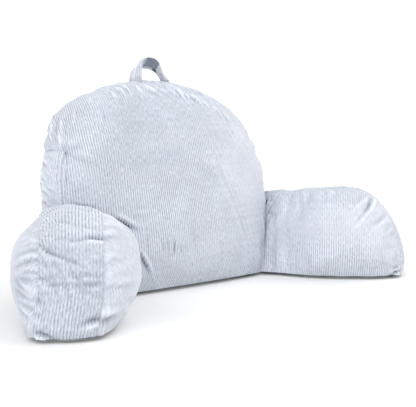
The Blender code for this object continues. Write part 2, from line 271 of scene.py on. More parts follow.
@dataclass
class SeamLine:
    """A sewn seam in space, with the direction in which it draws the cover in."""

    points: Array
    inward: Array           # unit vector into the cushion at each point
    puckers: Puckers
    depth: float = 0.0028   # how deep the seam draws the cover
    reach: float = 0.0050   # how far from the seam it is drawn
    show: float = 1.0       # how dark the painted shade along the seam is

    def __post_init__(self) -> None:
        """Measures the seam and makes it quick to search."""
        self.run = run_along(self.points)
        self.tree = KDTree(len(self.points))
        for k, point in enumerate(self.points):
            self.tree.insert(point, k)
        self.tree.balance()

    def near(self, points: Array) -> tuple[Array, Array]:
        """Nearest place on the seam.

        Args:
            points: Grid of points.

        Returns:
            Distance to the seam, and the index of its nearest point.
        """
        found = [self.tree.find(p) for p in points.reshape(-1, 3).tolist()]
        return tuple(np.array([f[k] for f in found]).reshape(points.shape[:-1]) for k in (2, 1))


# ---- Slack cloth over the filling ----
@dataclass(frozen=True)
class Billow:
    """Cloth simulation of one panel: slack cloth held at its seams and pressed outwards by the filling."""

    slack: float = 0.035            # how much larger the cloth is than its place
    pressure: float = 4.0
    frames: int = 20
    quality: int = 6
    spacing: float = 0.009          # between the points of the simulated cloth
    cap: float = 0.0060             # farthest that the result may move the cover
    passes: int = 60                # rounds of smoothing that find the slow swell

    def settle(self, points: Array, winding: float) -> Array:
        """Runs the simulation on a coarse copy of a panel.

        Args:
            points: Grid of points.
            winding: 1 or -1, so that the faces look out of the cushion.

        Returns:
            The points when the cloth has settled.
        """
        rows, columns = points.shape[:2]
        index = np.arange(rows * columns).reshape(rows, columns)
        mesh = bpy.data.meshes.new("slack_cloth")
        mesh.from_pydata(points.reshape(-1, 3).tolist(), [], grid_faces(index)[:, ::int(winding)].tolist())
        cloth = bpy.data.objects.new("slack_cloth", mesh)
        bpy.context.scene.collection.objects.link(cloth)
        held = np.concatenate([index[0], index[-1], index[:, 0], index[:, -1]])
        cloth.vertex_groups.new(name="seam").add(np.unique(held).tolist(), 1.0, "REPLACE")
        modifier = cloth.modifiers.new("slack_cloth", "CLOTH")
        modifier.point_cache.frame_start, modifier.point_cache.frame_end = 1, self.frames
        modifier.collision_settings.use_collision = False
        settings = modifier.settings
        settings.quality = self.quality
        settings.vertex_group_mass = "seam"
        settings.shrink_min = -self.slack
        settings.use_pressure = True
        settings.uniform_pressure_force = self.pressure
        settings.effector_weights.gravity = 0.0
        for frame_number in range(1, self.frames + 1):
            bpy.context.scene.frame_set(frame_number)
        settled = cloth.evaluated_get(bpy.context.evaluated_depsgraph_get()).data
        moved = np.empty(rows * columns * 3, np.float32)
        settled.vertices.foreach_get("co", moved)
        bpy.data.objects.remove(cloth)
        bpy.data.meshes.remove(mesh)
        bpy.context.scene.frame_set(1)
        return moved.astype(float).reshape(points.shape)

    def height(self, points: Array, normal: Array, winding: float) -> Array:
        """How far the settled cloth stands out of a smooth panel, without its slow swell.

        Args:
            points: The smooth grid.
            normal: Its unit normals, out of the cushion.
            winding: 1 or -1, so that the faces look out of the cushion.

        Returns:
            Heights in metres.
        """
        middle_row, middle_column = points[points.shape[0] // 2], points[:, points.shape[1] // 2]
        size = [run_along(line)[-1] for line in (middle_column, middle_row)]
        rows, columns = (np.unique(np.linspace(0, count - 1, max(8, int(length / self.spacing))).astype(int))
                         for count, length in zip(points.shape[:2], size))
        coarse = points[np.ix_(rows, columns)]
        out = ((self.settle(coarse, winding) - coarse) * normal[np.ix_(rows, columns)]).sum(-1)
        slow = out.copy()
        for _ in range(self.passes):
            slow[1:-1] += 0.25 * (slow[:-2] - 2.0 * slow[1:-1] + slow[2:])
            slow[:, 1:-1] += 0.25 * (slow[:, :-2] - 2.0 * slow[:, 1:-1] + slow[:, 2:])
        out = self.cap * np.tanh((out - slow) / self.cap)
        every_row, every_column = (np.arange(count) for count in points.shape[:2])
        tall = np.stack([np.interp(every_row, rows, line) for line in out.T], 1)
        return np.stack([np.interp(every_column, columns, line) for line in tall], 0)


# ---- The cloth of one cushion ----
@dataclass
class Dressing:
    """How a panel is dressed: the cloth's ribs, its folds, the seams round it and their painted shade and
    highlights.
    """

    rib_height: float = 0.0009
    rib_show: float = 1.0           # how dark the painted shade between the ribs is
    seam_show: float = 1.0          # how clearly the seams show: how deep they draw the cover in, and how dark their painted shade is
    folds: tuple[Fold, ...] = ()
    nap_and_shade: tuple[NapAndShadePatch, ...] = ()
    softness: float = 0.0012        # slow unevenness of the filling
    seed: float = 0.0
    seam_shade_band: float = 0.0028          # half width of the painted shade along a seam
    held: float = 0.016             # how far from a seam it still holds the folds down
    darkest: float = 1.8            # limit of the shade in a seam or a crease
    crease_shade_depth: float = 0.0055    # depth of a crease that gets the full painted shade
    ridge_highlight_height: float = 0.0035     # height of a ridge that gets the full painted highlight, which hides the ground between ribs
    crest_height: float = 0.0050    # height of a ridge that looks fully lit
    billow: Billow = Billow()

    def apply(self, points: Array, across: Array, place: tuple[Array, Array], seams: list[SeamLine],
              side: float) -> tuple[Array, Array, Array]:
        """Moves a smooth grid to the real surface of the cloth.

        Args:
            points: The smooth grid.
            across: Distance across the ribs at each point.
            place: The panel's own two coordinates, which the folds use.
            seams: Seams that bound the panel.
            side: 1 or -1, so that the grid's normal points out of the cushion.

        Returns:
            The moved grid, how strongly the painted shade between ribs shows at each point, and the painted
            shade of seams and creases, which is below 0 where a ridge gets a painted highlight.
        """
        normal = facing(points) * side
        u, v = place
        rib = np.abs(np.cos(math.pi * across / RIB_PITCH))
        show = 1.0 + 0.22 * uneven(v + 0.006 * uneven(u, 0.045, self.seed), 0.024, self.seed + 0.5)
        shade = np.full(points.shape[:-1], FLAT_SHADE)
        # patches of flat nap, with painted light and shade in the ground between ribs
        for patch in self.nap_and_shade:
            left = patch.left(u, v)
            show, shade = show * left, lerp(patch.shade, shade, np.clip(left, 0.0, 1.0))
        nearest = np.full(points.shape[:-1], 1.0)
        # painted shade along the seams, and how far the seams draw the cover in
        painted_seam_shade, pull = np.zeros(points.shape[:-1]), np.zeros_like(points)
        height = self.billow.height(points, normal, side)
        for seam in seams:
            distance, index = seam.near(points)
            run = seam.run[index]
            nearest = np.minimum(nearest, distance)
            drawn = self.seam_show * seam.depth * np.exp(-(distance / seam.reach) ** 2)
            pull += seam.inward[index] * drawn[..., None]
            height += seam.puckers.height(run, distance)
            # painted shade along this seam, uneven along its run
            seam_shade_band = seam.show * (0.65 + 0.45 * uneven(run, 0.0085, seam.puckers.seed))
            painted_seam_shade = np.maximum(painted_seam_shade, seam_shade_band * np.exp(-(distance / self.seam_shade_band) ** 2))
        away = ease(nearest / self.held)
        crease = sum((fold.height(u, v) for fold in self.folds), np.zeros_like(height))
        slow = uneven(u + 0.3 * v, 0.110, self.seed) * uneven(v - 0.2 * u, 0.090, self.seed + 1.9)
        height += crease * lerp(0.45, 1.0, away) + self.softness * slow * away
        height += self.rib_height * show * (rib - 0.5) * (1.0 - np.exp(-(nearest / 0.003) ** 2))
        ground = 0.55 + 0.75 * np.clip(show, 0.0, 1.0) * (1.0 - rib)
        # painted shade in creases, broken up by the ribs
        painted_crease_shade = np.clip(-crease / self.crease_shade_depth, 0.0, self.darkest) * ground
        # painted highlight on ridges: less of the painted shade between ribs shows
        ridge_highlight_cut = 1.0 - 0.8 * np.clip(crease / self.ridge_highlight_height, 0.0, 1.0)
        # how much of the painted shade between ribs shows, with the patches' painted light and shade
        groove = self.rib_show * (show * (1.0 - rib) + (1.0 - show) * shade) * ridge_highlight_cut
        # painted highlight on ridges, below 0 in the result
        crest = np.clip(crease / self.crest_height, 0.0, 1.0)
        painted_shade_and_highlight = np.clip(painted_crease_shade + self.seam_show * painted_seam_shade, 0.0, self.darkest) - crest
        return points + normal * height[..., None] + pull, groove, painted_shade_and_highlight


@dataclass
class Cover:
    """Collects the panels of one cushion and sews them into one closed mesh."""

    points: list[Array] = field(default_factory=list)
    cloth: list[Array] = field(default_factory=list)
    groove: list[Array] = field(default_factory=list)
    painted_shade_and_highlight: list[Array] = field(default_factory=list)
    faces: list[list[int]] = field(default_factory=list)
    count: int = 0

    def add(self, points: Array, cloth: Array, groove: Array, painted_shade_and_highlight: Array) -> Array:
        """Adds a grid of points and the faces between them.

        Args:
            points: Rows by columns by 3.
            cloth: Rows by columns by 2, metres across and along the ribs.
            groove: How strongly the painted shade between ribs shows, 0 to 1.
            painted_shade_and_highlight: Painted shade of a seam or crease, from 0, deeper above 1, or below 0
                for a painted highlight on a ridge.

        Returns:
            The index of each point in the mesh.
        """
        rows, columns = points.shape[:2]
        index = np.arange(rows * columns).reshape(rows, columns) + self.count
        self.count += rows * columns
        for kept, values in ((self.points, points), (self.cloth, cloth)):
            kept.append(values.reshape(rows * columns, -1))
        self.groove.append(groove.reshape(-1))
        self.painted_shade_and_highlight.append(painted_shade_and_highlight.reshape(-1))
        self.faces += grid_faces(index).tolist()
        return index

    def dress(self, dressing: Dressing, points: Array, place: tuple[Array, Array], seams: list[SeamLine],
              side: float = 1.0, across: Array | None = None) -> Array:
        """Dresses a smooth panel and adds it.

        Args:
            dressing: How it is dressed.
            points: The smooth grid.
            place: The panel's own two coordinates, of which the second runs along the ribs.
            seams: Seams that bound the panel.
            side: 1 or -1, so that the grid's normal points out of the cushion.
            across: Distance across the ribs, where it isn't the first coordinate.

        Returns:
            The index of each point in the mesh.
        """
        across = place[0] if across is None else across
        points, groove, painted_shade_and_highlight = dressing.apply(points, across, place, seams, side)
        return self.add(points, np.stack([across, place[1]], -1), groove, painted_shade_and_highlight)

    def continue_to(self, first: Array, second: Array) -> None:
        """Adds faces between two rows of the same length."""
        self.faces += np.stack([first[:-1], first[1:], second[1:], second[:-1]], -1).tolist()

    def sew(self, first: Array, second: Array) -> None:
        """Joins two edges that lie along one seam, whatever their number of points.

        Args:
            first: Indices along one edge.
            second: Indices along the other, in the same direction.
        """
        points = np.vstack(self.points)
        a, b = points[first], points[second]
        i = j = 0
        while i < len(a) - 1 or j < len(b) - 1:
            step_a = np.linalg.norm(a[i + 1] - b[j]) if i < len(a) - 1 else math.inf
            step_b = np.linalg.norm(a[i] - b[j + 1]) if j < len(b) - 1 else math.inf
            if step_a <= step_b:
                self.faces.append([int(first[i]), int(first[i + 1]), int(second[j])])
                i += 1
            else:
                self.faces.append([int(first[i]), int(second[j + 1]), int(second[j])])
                j += 1

    def cap(self, loop: Array, centre: Array, rings: list[Array] | None = None) -> None:
        """Closes the base: rings that round its edge, then a fan from its middle.

        Args:
            loop: Indices round the base.
            centre: The middle point.
            rings: Points of each ring, one for each point of the loop.
        """
        for points in rings or []:
            blank = np.zeros((1, len(points)))
            # the rings under the base edge are painted in deep shade, where no light gets in
            ring = self.add(points[None], np.zeros((1, len(points), 2)), blank, blank + 2.0)[0]
            self.continue_to(np.append(loop, loop[0]), np.append(ring, ring[0]))
            loop = ring
        level = np.zeros((1, 1))
        tip = int(self.add(centre.reshape(1, 1, 3), np.zeros((1, 1, 2)), level, level)[0, 0])
        self.faces += [[int(i), int(j), tip] for i, j in zip(loop, np.roll(loop, -1)) if i != j]

    def close_base(self, base: Array, middle: Array, axes: tuple[Array, Array],
                   half: tuple[float, float]) -> None:
        """Turns the lowest edge under and closes the base.

        Args:
            base: Indices round the lowest edge.
            middle: Middle of the base.
            axes: Unit vectors along and across the base.
            half: Half of its size along each of them.
        """
        reach = np.vstack(self.points)[base] - middle
        rings = []
        for drawn, height in BASE_RINGS:
            kept = [1.0 - drawn / size for size in half]
            ring = middle + sum((reach @ axis)[:, None] * axis * share for axis, share in zip(axes, kept))
            ring[:, 2] = height
            rings.append(ring)
        self.cap(base, middle, rings)

    def build(self, name: str, finish: "RibbedPlush", mirror: bool = False) -> bpy.types.Object:
        """Makes the object.

        Args:
            name: Name of the piece.
            finish: Its cloth.
            mirror: True for the left-hand side.

        Returns:
            The closed cover as an object at the part's origin.
        """
        points = np.vstack(self.points)
        if mirror:
            points = points * (-1.0, 1.0, 1.0)
        mesh = bpy.data.meshes.new(name)
        mesh.from_pydata((points + ORIGIN).tolist(), [], self.faces)
        sheet = bmesh.new()
        sheet.from_mesh(mesh)
        bmesh.ops.holes_fill(sheet, edges=[edge for edge in sheet.edges if edge.is_boundary], sides=0)
        bmesh.ops.recalc_face_normals(sheet, faces=sheet.faces)
        sheet.to_mesh(mesh)
        sheet.free()
        mesh.polygons.foreach_set("use_smooth", [True] * len(mesh.polygons))
        corner = np.zeros(len(mesh.loops), np.int32)
        mesh.loops.foreach_get("vertex_index", corner)
        layer = mesh.uv_layers.new(name="cloth")
        layer.data.foreach_set("uv", np.vstack(self.cloth)[corner].astype(np.float32).ravel())
        for title, values in (("groove", self.groove), ("painted_shade_and_highlight", self.painted_shade_and_highlight)):
            mesh.attributes.new(title, "FLOAT", "POINT").data.foreach_set(
                "value", np.concatenate(values).astype(np.float32))
        mesh.materials.append(finish.material(name + "_plush"))
        piece = bpy.data.objects.new(name, mesh)
        bpy.context.scene.collection.objects.link(piece)
        return piece


# ---- Backrest ----
class Face(Enum):
    """The two panels of a cushion."""

    FRONT = "front"
    BACK = "back"


@dataclass
class PanelEdge:
    """Height of a panel's lower and upper edge over the distance across it, a hair inside its seam."""

    lower: Array
    upper: Array
    centre: Array
    inset: float = 0.9975

    def __post_init__(self) -> None:
        """Draws both edges in towards the middle of the panel."""
        self.lower = self.centre + (self.lower - self.centre) * self.inset
        self.upper = self.centre + (self.upper - self.centre) * self.inset

    def grid(self, across: Array, rows: int) -> tuple[Array, Array]:
        """Grid of places between the edges.

        Args:
            across: Distance across the panel of each column.
            rows: Number of rows.

        Returns:
            Distance across and height, rows by columns.
        """
        low = np.interp(across, *self.lower.T)
        high = np.interp(across, *self.upper.T)
        height = low + (high - low) * graded(rows)[:, None]
        return np.broadcast_to(across, height.shape), height


@dataclass
class LongSeam:
    """One of the two long outlines of the backrest, on a leaning plane."""

    rows: tuple[tuple[float, float], ...]     # height, half width, in millimetres
    height: float
    plane: tuple[float, float, float]         # depth at the floor, per metre up, per metre squared
    path: Array = field(init=False)

    def __post_init__(self) -> None:
        """Draws the smooth outline from its rows."""
        half = [(w / 1000.0, z / 1000.0) for z, w in self.rows]
        self.path = smooth_path(half + [(0.0, self.height)] + [(-w, z) for w, z in half[::-1]])

    def width(self, z: Array) -> Array:
        """Half width at a height."""
        half = self.path[: len(self.path) // 2 + 1]
        return np.interp(z, half[:, 1], half[:, 0])

    def depth(self, z: Array) -> Array:
        """Depth of the seam's plane at a height."""
        return self.plane[0] + self.plane[1] * z + self.plane[2] * z * z

    def side(self, z: Array) -> Array:
        """The seam on the right-hand side at the given heights."""
        return np.stack([self.width(z), self.depth(z), z], -1)

    def loop(self, side_height: float, side_rows: int, dome_steps: int) -> Array:
        """Width and height along the seam: up the right side, over the top and down the left.

        Args:
            side_height: Height at which the dome begins.
            side_rows: Points up each side.
            dome_steps: Steps over the dome.

        Returns:
            The points, one a row.
        """
        rows = np.linspace(0.0, side_height, side_rows)
        right = np.stack([self.width(rows), rows], -1)
        left = right[::-1] * (-1.0, 1.0)
        over = self.path[self.path[:, 1] > side_height]
        dome = evenly(np.vstack([right[-1:], over, left[:1]]), dome_steps + 1)
        return np.vstack([right, dome[1:-1], left])

    def placed(self, loop: Array) -> Array:
        """The points of a loop in space."""
        return np.stack([loop[:, 0], self.depth(loop[:, 1]), loop[:, 1]], -1)

    def crown(self, x: Array, z: Array, peak: float) -> Array:
        """Fullness of the panel, from 0 on the seam to 1 where it is fullest.

        Args:
            x: Distance from the middle.
            z: Height.
            peak: Share of the height at which it is fullest.

        Returns:
            The fullness at each place.
        """
        across = np.clip(np.abs(x) / np.maximum(self.width(z), 1e-4), 0.0, 1.0)
        share = np.clip(z / self.height, 0.0, 1.0)
        above = np.clip((share - peak) / (1.0 - peak), 0.0, 1.0)
        below = np.clip((peak - share) / peak, 0.0, 1.0)
        rise = np.where(share > peak, (1.0 - above ** 2.3) ** 0.7, 1.0 - below ** 2.6)
        edge = lerp(1.0, 0.62, ease((z - 0.13) / 0.14))
        return (1.0 - across ** 2.8) ** edge * rise


@dataclass
class FlatPanel:
    """A crowned panel laid flat: distance across the cloth against height, so that its ribs are straight."""

    surface: Callable[[Array, Array], Array]  # gives its points for distances from the middle and heights
    seam: LongSeam
    rows: int
    levels: int = 180                         # heights at which its cloth is measured
    places: int = 300                         # from the middle out to the seam

    def __post_init__(self) -> None:
        """Measures the cloth from the middle outwards at each level."""
        self.heights = np.linspace(0.0, self.seam.height - 0.0005, self.levels)
        self.x = self.seam.width(self.heights)[:, None] * np.linspace(0.0, 1.0, self.places)
        points = self.surface(self.x, np.broadcast_to(self.heights[:, None], self.x.shape))
        steps = np.linalg.norm(np.diff(points, axis=1), axis=2)
        self.cloth = np.concatenate([np.zeros((len(steps), 1)), np.cumsum(steps, axis=1)], axis=1)
        self.widest = int(np.argmax(self.cloth[:, -1]))

    def reach(self, z: Array) -> Array:
        """Cloth from the middle to the seam at a height."""
        return np.interp(z, self.heights, self.cloth[:, -1])

    def top(self, across: Array) -> Array:
        """Height of the upper edge over a place across the cloth."""
        return np.interp(np.abs(across), self.cloth[self.widest:, -1][::-1], self.heights[self.widest:][::-1])

    def grid(self) -> tuple[Array, Array, Array, Array]:
        """Grid of the panel with its columns a quarter of a rib apart.

        Returns:
            Distance across the cloth of each column, then for each point distance across the cloth, height
            and place in space.
        """
        half = np.stack([self.cloth[:, -1], self.heights], -1)
        mirrored = np.array([-1.0, 1.0])
        lower = np.maximum(half[: self.widest + 1], (0.0, BASE_LIFT))
        upper = np.vstack([half[self.widest:], [[0.0, self.seam.height]]])[::-1]
        whole = (np.vstack([lower[::-1] * mirrored, lower]), np.vstack([upper[::-1] * mirrored, upper[1:]]))
        edge = PanelEdge(*whole, np.array([0.0, PANEL_WAIST * self.seam.height]))
        last = int(edge.upper[-1, 0] / COLUMN_STEP - 0.05)
        at = np.arange(-last, last + 1) * COLUMN_STEP
        across, z = edge.grid(at, self.rows)
        level = np.interp(z, self.heights, np.arange(len(self.heights)))
        below = np.minimum(level.astype(int), len(self.heights) - 2)
        x = np.empty_like(across)
        for k in range(len(self.heights) - 1):
            here = below == k
            if here.any():
                out = np.abs(across[here])
                low, high = (np.interp(out, self.cloth[row], self.x[row]) for row in (k, k + 1))
                x[here] = lerp(low, high, level[here] - k)
        x *= np.sign(across)
        return at, across, z, self.surface(x, z)

    def foot(self) -> tuple[int, int]:
        """The columns that stand at the two ends of the base."""
        last = int(self.cloth[self.widest, -1] * PanelEdge.inset / COLUMN_STEP - 0.05)
        out = int(round(float(self.reach(np.array(BASE_LIFT))) * PanelEdge.inset / COLUMN_STEP))
        return last - out, last + out


@dataclass
class Backrest:
    """The back cushion: a front that wraps over the top, a gusset at each side, a back and a flat base."""

    front: LongSeam = field(default_factory=lambda: LongSeam(
        ((0, 250), (50, 267), (100, 282), (150, 295), (190, 302), (230, 302), (270, 298), (312, 286),
         (352, 266), (388, 237), (425, 191), (452, 126), (466, 55)), 0.470, (-0.012, 0.270, -0.240)))
    back: LongSeam = field(default_factory=lambda: LongSeam(
        tuple((share * 458.0, width) for share, width in (
            (0.0, 256), (0.105, 270), (0.21, 281), (0.315, 288), (0.4, 291), (0.485, 289), (0.575, 283),
            (0.665, 273), (0.745, 264), (0.825, 248), (0.9, 204), (0.962, 116), (0.992, 42))),
        0.458, (0.108, 0.145, 0.0)))
    front_crown: float = 0.070
    back_crown: float = 0.046
    crown_peak: float = 0.30
    strip_bulge: float = 0.012
    bulge_from: float = 5.0 / 54.0            # share of the dome over which the strip's bulge grows
    side_height: float = 0.190                # up to here an arm is sewn to the gusset
    gusset_top: float = 0.314                 # height at which the gusset ends on the front seam
    gusset_gap: float = 0.0006                # how far the gusset ends below the cross seam, as a step
    wrap_gap: float = 0.0008                  # how far the wrap begins above it
    depth_of_cloth: float = 0.118             # cloth between the front and the back outline
    base_middle: float = 0.048                # depth of the middle of the base
    base_half: tuple[float, float] = (0.25, 0.06)
    side_rows: int = 200                      # points up each side of the two outlines
    dome_steps: int = 1600                    # steps over the dome between them
    front_rows: int = 124
    back_rows: int = 25
    wrap_rows: int = 26
    gusset_rows: tuple[int, int] = (20, 58)   # beside the arm, above it
    beside_arm: float = 0.56                  # share of the gusset that lies beside the arm
    blend_rows: float = 15.0                  # on either side of the line where the front turns into the wrap
    blend_columns: float = 36.0
    blend_passes: int = 40
    front_folds: tuple[Fold, ...] = Fold.table(          # distance across the cloth, height
        (-301, 313, 80, 8, 4.4, 2.8), (-278, 322, 20, 26, 6, 1.6), (-270, 298, -24, 24, 6, 1.6),
        (-304.5, 262, 81, 45, 2, 2.2, 0.5), (-196, 386, 94, 12, 3.5, 1.2, 0.5),
        (-172, 372, 84, 8, 3, 0.9, 0.5), (-190, 162, -29, 26, 4.2, 8.5, 0.4),
        (-147, 74, -58, 28, 3.4, 6, 0.5), (-273, 202, -10, 24, 2.4, 3.4, 0.3),
        (-143, 122, 90, 28, 2.6, 1.4, 0.5), (-104.5, 106, 98, 12, 2.2, 2.5, 0.3),
        (-89.5, 106, 98, 13, 2.2, 2.7, 0.3), (-70.5, 104, 99, 14, 2.4, 3, 0.3),
        (-56, 101, 98, 13, 2.2, 2.6, 0.3), (-48, 453, -36, 19, 3, -5.6, -0.35),
        (-16, 450, -31, 13, 2.8, -4.4, -0.35), (32, 450, -66, 13, 3, -7.6, -0.35),
        (71.5, 436.7, -48, 16, 3, -6.6, -0.35), (10, 452, -50, 12, 2.8, -3.6, -0.35),
        (49, 444, -54, 10, 2.8, -3.6, -0.35), (100, 424, -46, 14, 3, -4, -0.35),
        (132, 408, -44, 16, 3.4, -3.2, -0.35), (164, 392, -46, 14, 3.4, -2.6, -0.35),
        (-134, 456, -78, 17, 3, -5, -0.35), (-116, 461, -86, 17, 3, -4.6, -0.35),
        (-95, 430, -53, 8, 2.8, 1.8, 0.5), (-84, 455, -60, 15, 2.8, -3.6, -0.35),
        (-156, 440, -74, 12, 3, -3, -0.35), (-312, 306, 60, 20, 3, -4, -0.35),
        (-322, 330, 66, 18, 3, -3.6, -0.35), (-300, 352, 70, 16, 3, -2.8, -0.35),
        (-336, 300, 58, 16, 3, -3.4, 0.35), (-262, 392, 80, 14, 3, -2, -0.35),
        (-214, 430, 84, 14, 3, -2.2, -0.35), (-60, 300, 10, 60, 16, 1.2), (80, 250, -25, 70, 16, 1.2),
        (255, 50, 75, 40, 10, 1.5))
    front_nap_and_shade: tuple[NapAndShadePatch, ...] = NapAndShadePatch.table(  # distance across the cloth, height
        (-135, 352, 80, 75, 0.58, 0.6), (10, 430, 170, 60, 0.6, 0.52), (210, 290, 110, 150, 0.85, 0.1),
        (-240, 250, 60, 30, 0.35), (60, 75, 190, 55, 0.3, -0.3))
    gusset_folds: tuple[Fold, ...] = Fold.table(         # distance across the gusset, distance up it
        (12, 270, 90, 80, 3, 1.4, 0.5), (50, 322, -10, 12, 6, 5, 0.5), (86, 327, 24, 22, 3.6, 4, 0.7),
        (96, 312, 30, 18, 3.4, 3.4, 0.7), (84, 294, 26, 26, 4, 5.6, 0.7), (100, 282, 18, 14, 3.4, 2.8, 0.7),
        (88, 264, 30, 24, 3.8, 5, 0.7), (96, 247, 20, 18, 3.6, 4, 0.7), (82, 232, 26, 26, 3.8, 4.8, 0.7),
        (94, 219, 32, 16, 3.4, 3.4, 0.7), (86, 203, 18, 22, 3.8, 4, 0.7), (40, 300, 20, 18, 3.4, 1.4, 0.7),
        (44, 262, 24, 18, 3.4, 1.2, 0.7), (40, 232, 16, 18, 3.4, 1.4, 0.7))
    edges: tuple[Array, Array] = field(init=False)       # both outlines in step, as width and height

    def __post_init__(self) -> None:
        """Draws both long outlines in step with each other."""
        self.edges = tuple(seam.loop(self.side_height, self.side_rows, self.dome_steps)
                           for seam in (self.front, self.back))

    def surface(self, face: Face, x: Array, z: Array) -> Array:
        """The smooth front or back panel.

        Args:
            face: Which panel.
            x: Distance from the middle.
            z: Height.

        Returns:
            Points in space.
        """
        if face is Face.FRONT:
            y = self.front.depth(z) - self.front_crown * self.front.crown(x, z, self.crown_peak)
        else:
            y = self.back.depth(z) + self.back_crown * self.back.crown(x, z, self.crown_peak)
        return np.stack([x, y, z], -1)

    def strip(self, step: Array, share: Array) -> Array:
        """The smooth surface between the two outlines.

        Args:
            step: Place along the outlines, from 0 at the right-hand foot to 1 at the left-hand foot.
            share: Share of the way from the front to the back.

        Returns:
            Points in space.
        """
        front, back = self.edges
        place, index = np.linspace(0.0, 1.0, len(front)), np.arange(len(front))
        above = np.minimum(index - self.side_rows + 1, len(front) - self.side_rows - index)
        free = ease(above / self.dome_steps / self.bulge_from)
        columns = np.column_stack([self.front.placed(front), self.back.placed(back), outward_of(front), free])
        at = np.stack([np.interp(step, place, column) for column in columns.T], -1)
        swell = self.strip_bulge * 4.0 * share * (1.0 - share) * at[..., 8]
        points = lerp(at[..., :3], at[..., 3:6], share[..., None])
        points[..., 0] += at[..., 6] * swell
        points[..., 2] += at[..., 7] * swell
        return points

    def step_at(self, height: float) -> float:
        """Place along the outlines at which the right-hand front seam is at a height.

        Args:
            height: The height.

        Returns:
            The place, from 0 at the right-hand foot to 1 at the left-hand foot.
        """
        front = self.edges[0]
        half = front[: len(front) // 2, 1]
        return float(np.interp(height, half, np.linspace(0.0, 1.0, len(front))[: len(half)]))

    def seam_lines(self) -> dict[str, SeamLine]:
        """The seams: two at the front, one round the back and one over each gusset.

        Returns:
            Each seam under its name.
        """
        made = {}
        place, end = np.linspace(0.0, 1.0, 1999), self.step_at(self.gusset_top)
        front, back = self.edges
        for name, loop, share, into, low, high in (("front_right", front, 0.0, 1.0, 0.0, end),
                                                   ("front_left", front, 0.0, 1.0, 1.0 - end, 1.0),
                                                   ("back", back, 1.0, -1.0, 0.0, 1.0)):
            kept = place[(place >= low) & (place <= high)]
            at, out = np.linspace(0.0, 1.0, len(loop)), outward_of(loop)
            inward = np.stack([-np.interp(kept, at, out[:, 0]), np.full(len(kept), into),
                               -np.interp(kept, at, out[:, 1])], -1) / math.sqrt(2.0)
            points = self.strip(kept, np.full_like(kept, share))
            made[name] = SeamLine(points, inward, Puckers(seed=0.4 + 1.7 * len(made)))
        for name, step, side in (("top_right", end, -1.0), ("top_left", 1.0 - end, 1.0)):
            share = np.linspace(0.0, 1.0, 160)
            inward = np.tile([side * 0.85, 0.0, -0.5], (len(share), 1))
            made[name] = SeamLine(self.strip(np.full_like(share, step), share), inward,
                                  Puckers(seed=0.9, depth=0.0022), 0.0004, 0.003, show=0.15)
        return made

    def flat(self, face: Face, rows: int) -> FlatPanel:
        """The front or back panel laid flat: ribs stay a fixed distance apart on the cloth."""
        seam = self.front if face is Face.FRONT else self.back
        return FlatPanel(lambda x, z: self.surface(face, x, z), seam, rows)

    def wrap(self, flat: FlatPanel, columns: Array) -> tuple[Array, Array, Array, int, int]:
        """The front cloth where it turns over the top and the shoulders to the back.

        Unfolded, it lies in the plane of the front panel, so its ribs run on in straight lines.

        Args:
            flat: The front panel laid flat.
            columns: Distance across the cloth of the front panel's columns.

        Returns:
            Smooth points, distance across the cloth, distance past the front outline as a share, and the
            first and last of the front panel's columns that run on.
        """
        end = self.step_at(self.gusset_top) + self.wrap_gap
        loop = self.edges[0]
        place = np.linspace(0.0, 1.0, len(loop))
        spread = np.stack([np.sign(loop[:, 0]) * flat.reach(loop[:, 1]), loop[:, 1]], -1)
        out = outward_of(spread)[:, 0] * self.depth_of_cloth
        here, lean = float(np.interp(end, place, spread[:, 0])), float(np.interp(end, place, out))
        widest = int((here + 0.97 * lean) / COLUMN_STEP)
        across = np.arange(-widest, widest + 1) * COLUMN_STEP
        begin = np.maximum((np.abs(across) - here) / lean, 0.03)
        share = lerp(begin, 1.0 - STRIP_INSET, graded(self.wrap_rows, 0.3)[:, None])
        low, high = np.full(share.shape, end), np.full(share.shape, 1.0 - end)
        for _ in range(24):                   # halves the stretch in which each point's step lies
            middle = (low + high) / 2.0
            beyond = np.interp(middle, place, spread[:, 0]) + np.interp(middle, place, out) * share > across
            low, high = np.where(beyond, middle, low), np.where(beyond, high, middle)
        first, *_, last = np.nonzero(np.abs(columns) < here)[0].tolist()
        return self.strip(low, share), np.broadcast_to(across, share.shape), share, first, last

    def blend(self, front: Array, wrap: Array) -> tuple[Array, Array]:
        """Rounds the line where the front turns into the wrap.

        Args:
            front: The columns of the front that run on.
            wrap: The same columns past the outline.

        Returns:
            Both, smoothed along the columns.
        """
        joined = np.vstack([front, wrap])
        inside = np.minimum(np.arange(joined.shape[1]), np.arange(joined.shape[1])[::-1])
        rows = np.arange(len(joined)) - self.front_rows
        weight = ease(1.0 - np.abs(rows) / self.blend_rows)[:, None] * ease(inside / self.blend_columns)
        for _ in range(self.blend_passes):
            joined[1:-1] += weight[1:-1, :, None] * (0.5 * (joined[:-2] + joined[2:]) - joined[1:-1])
        return joined[: self.front_rows], joined[self.front_rows:]

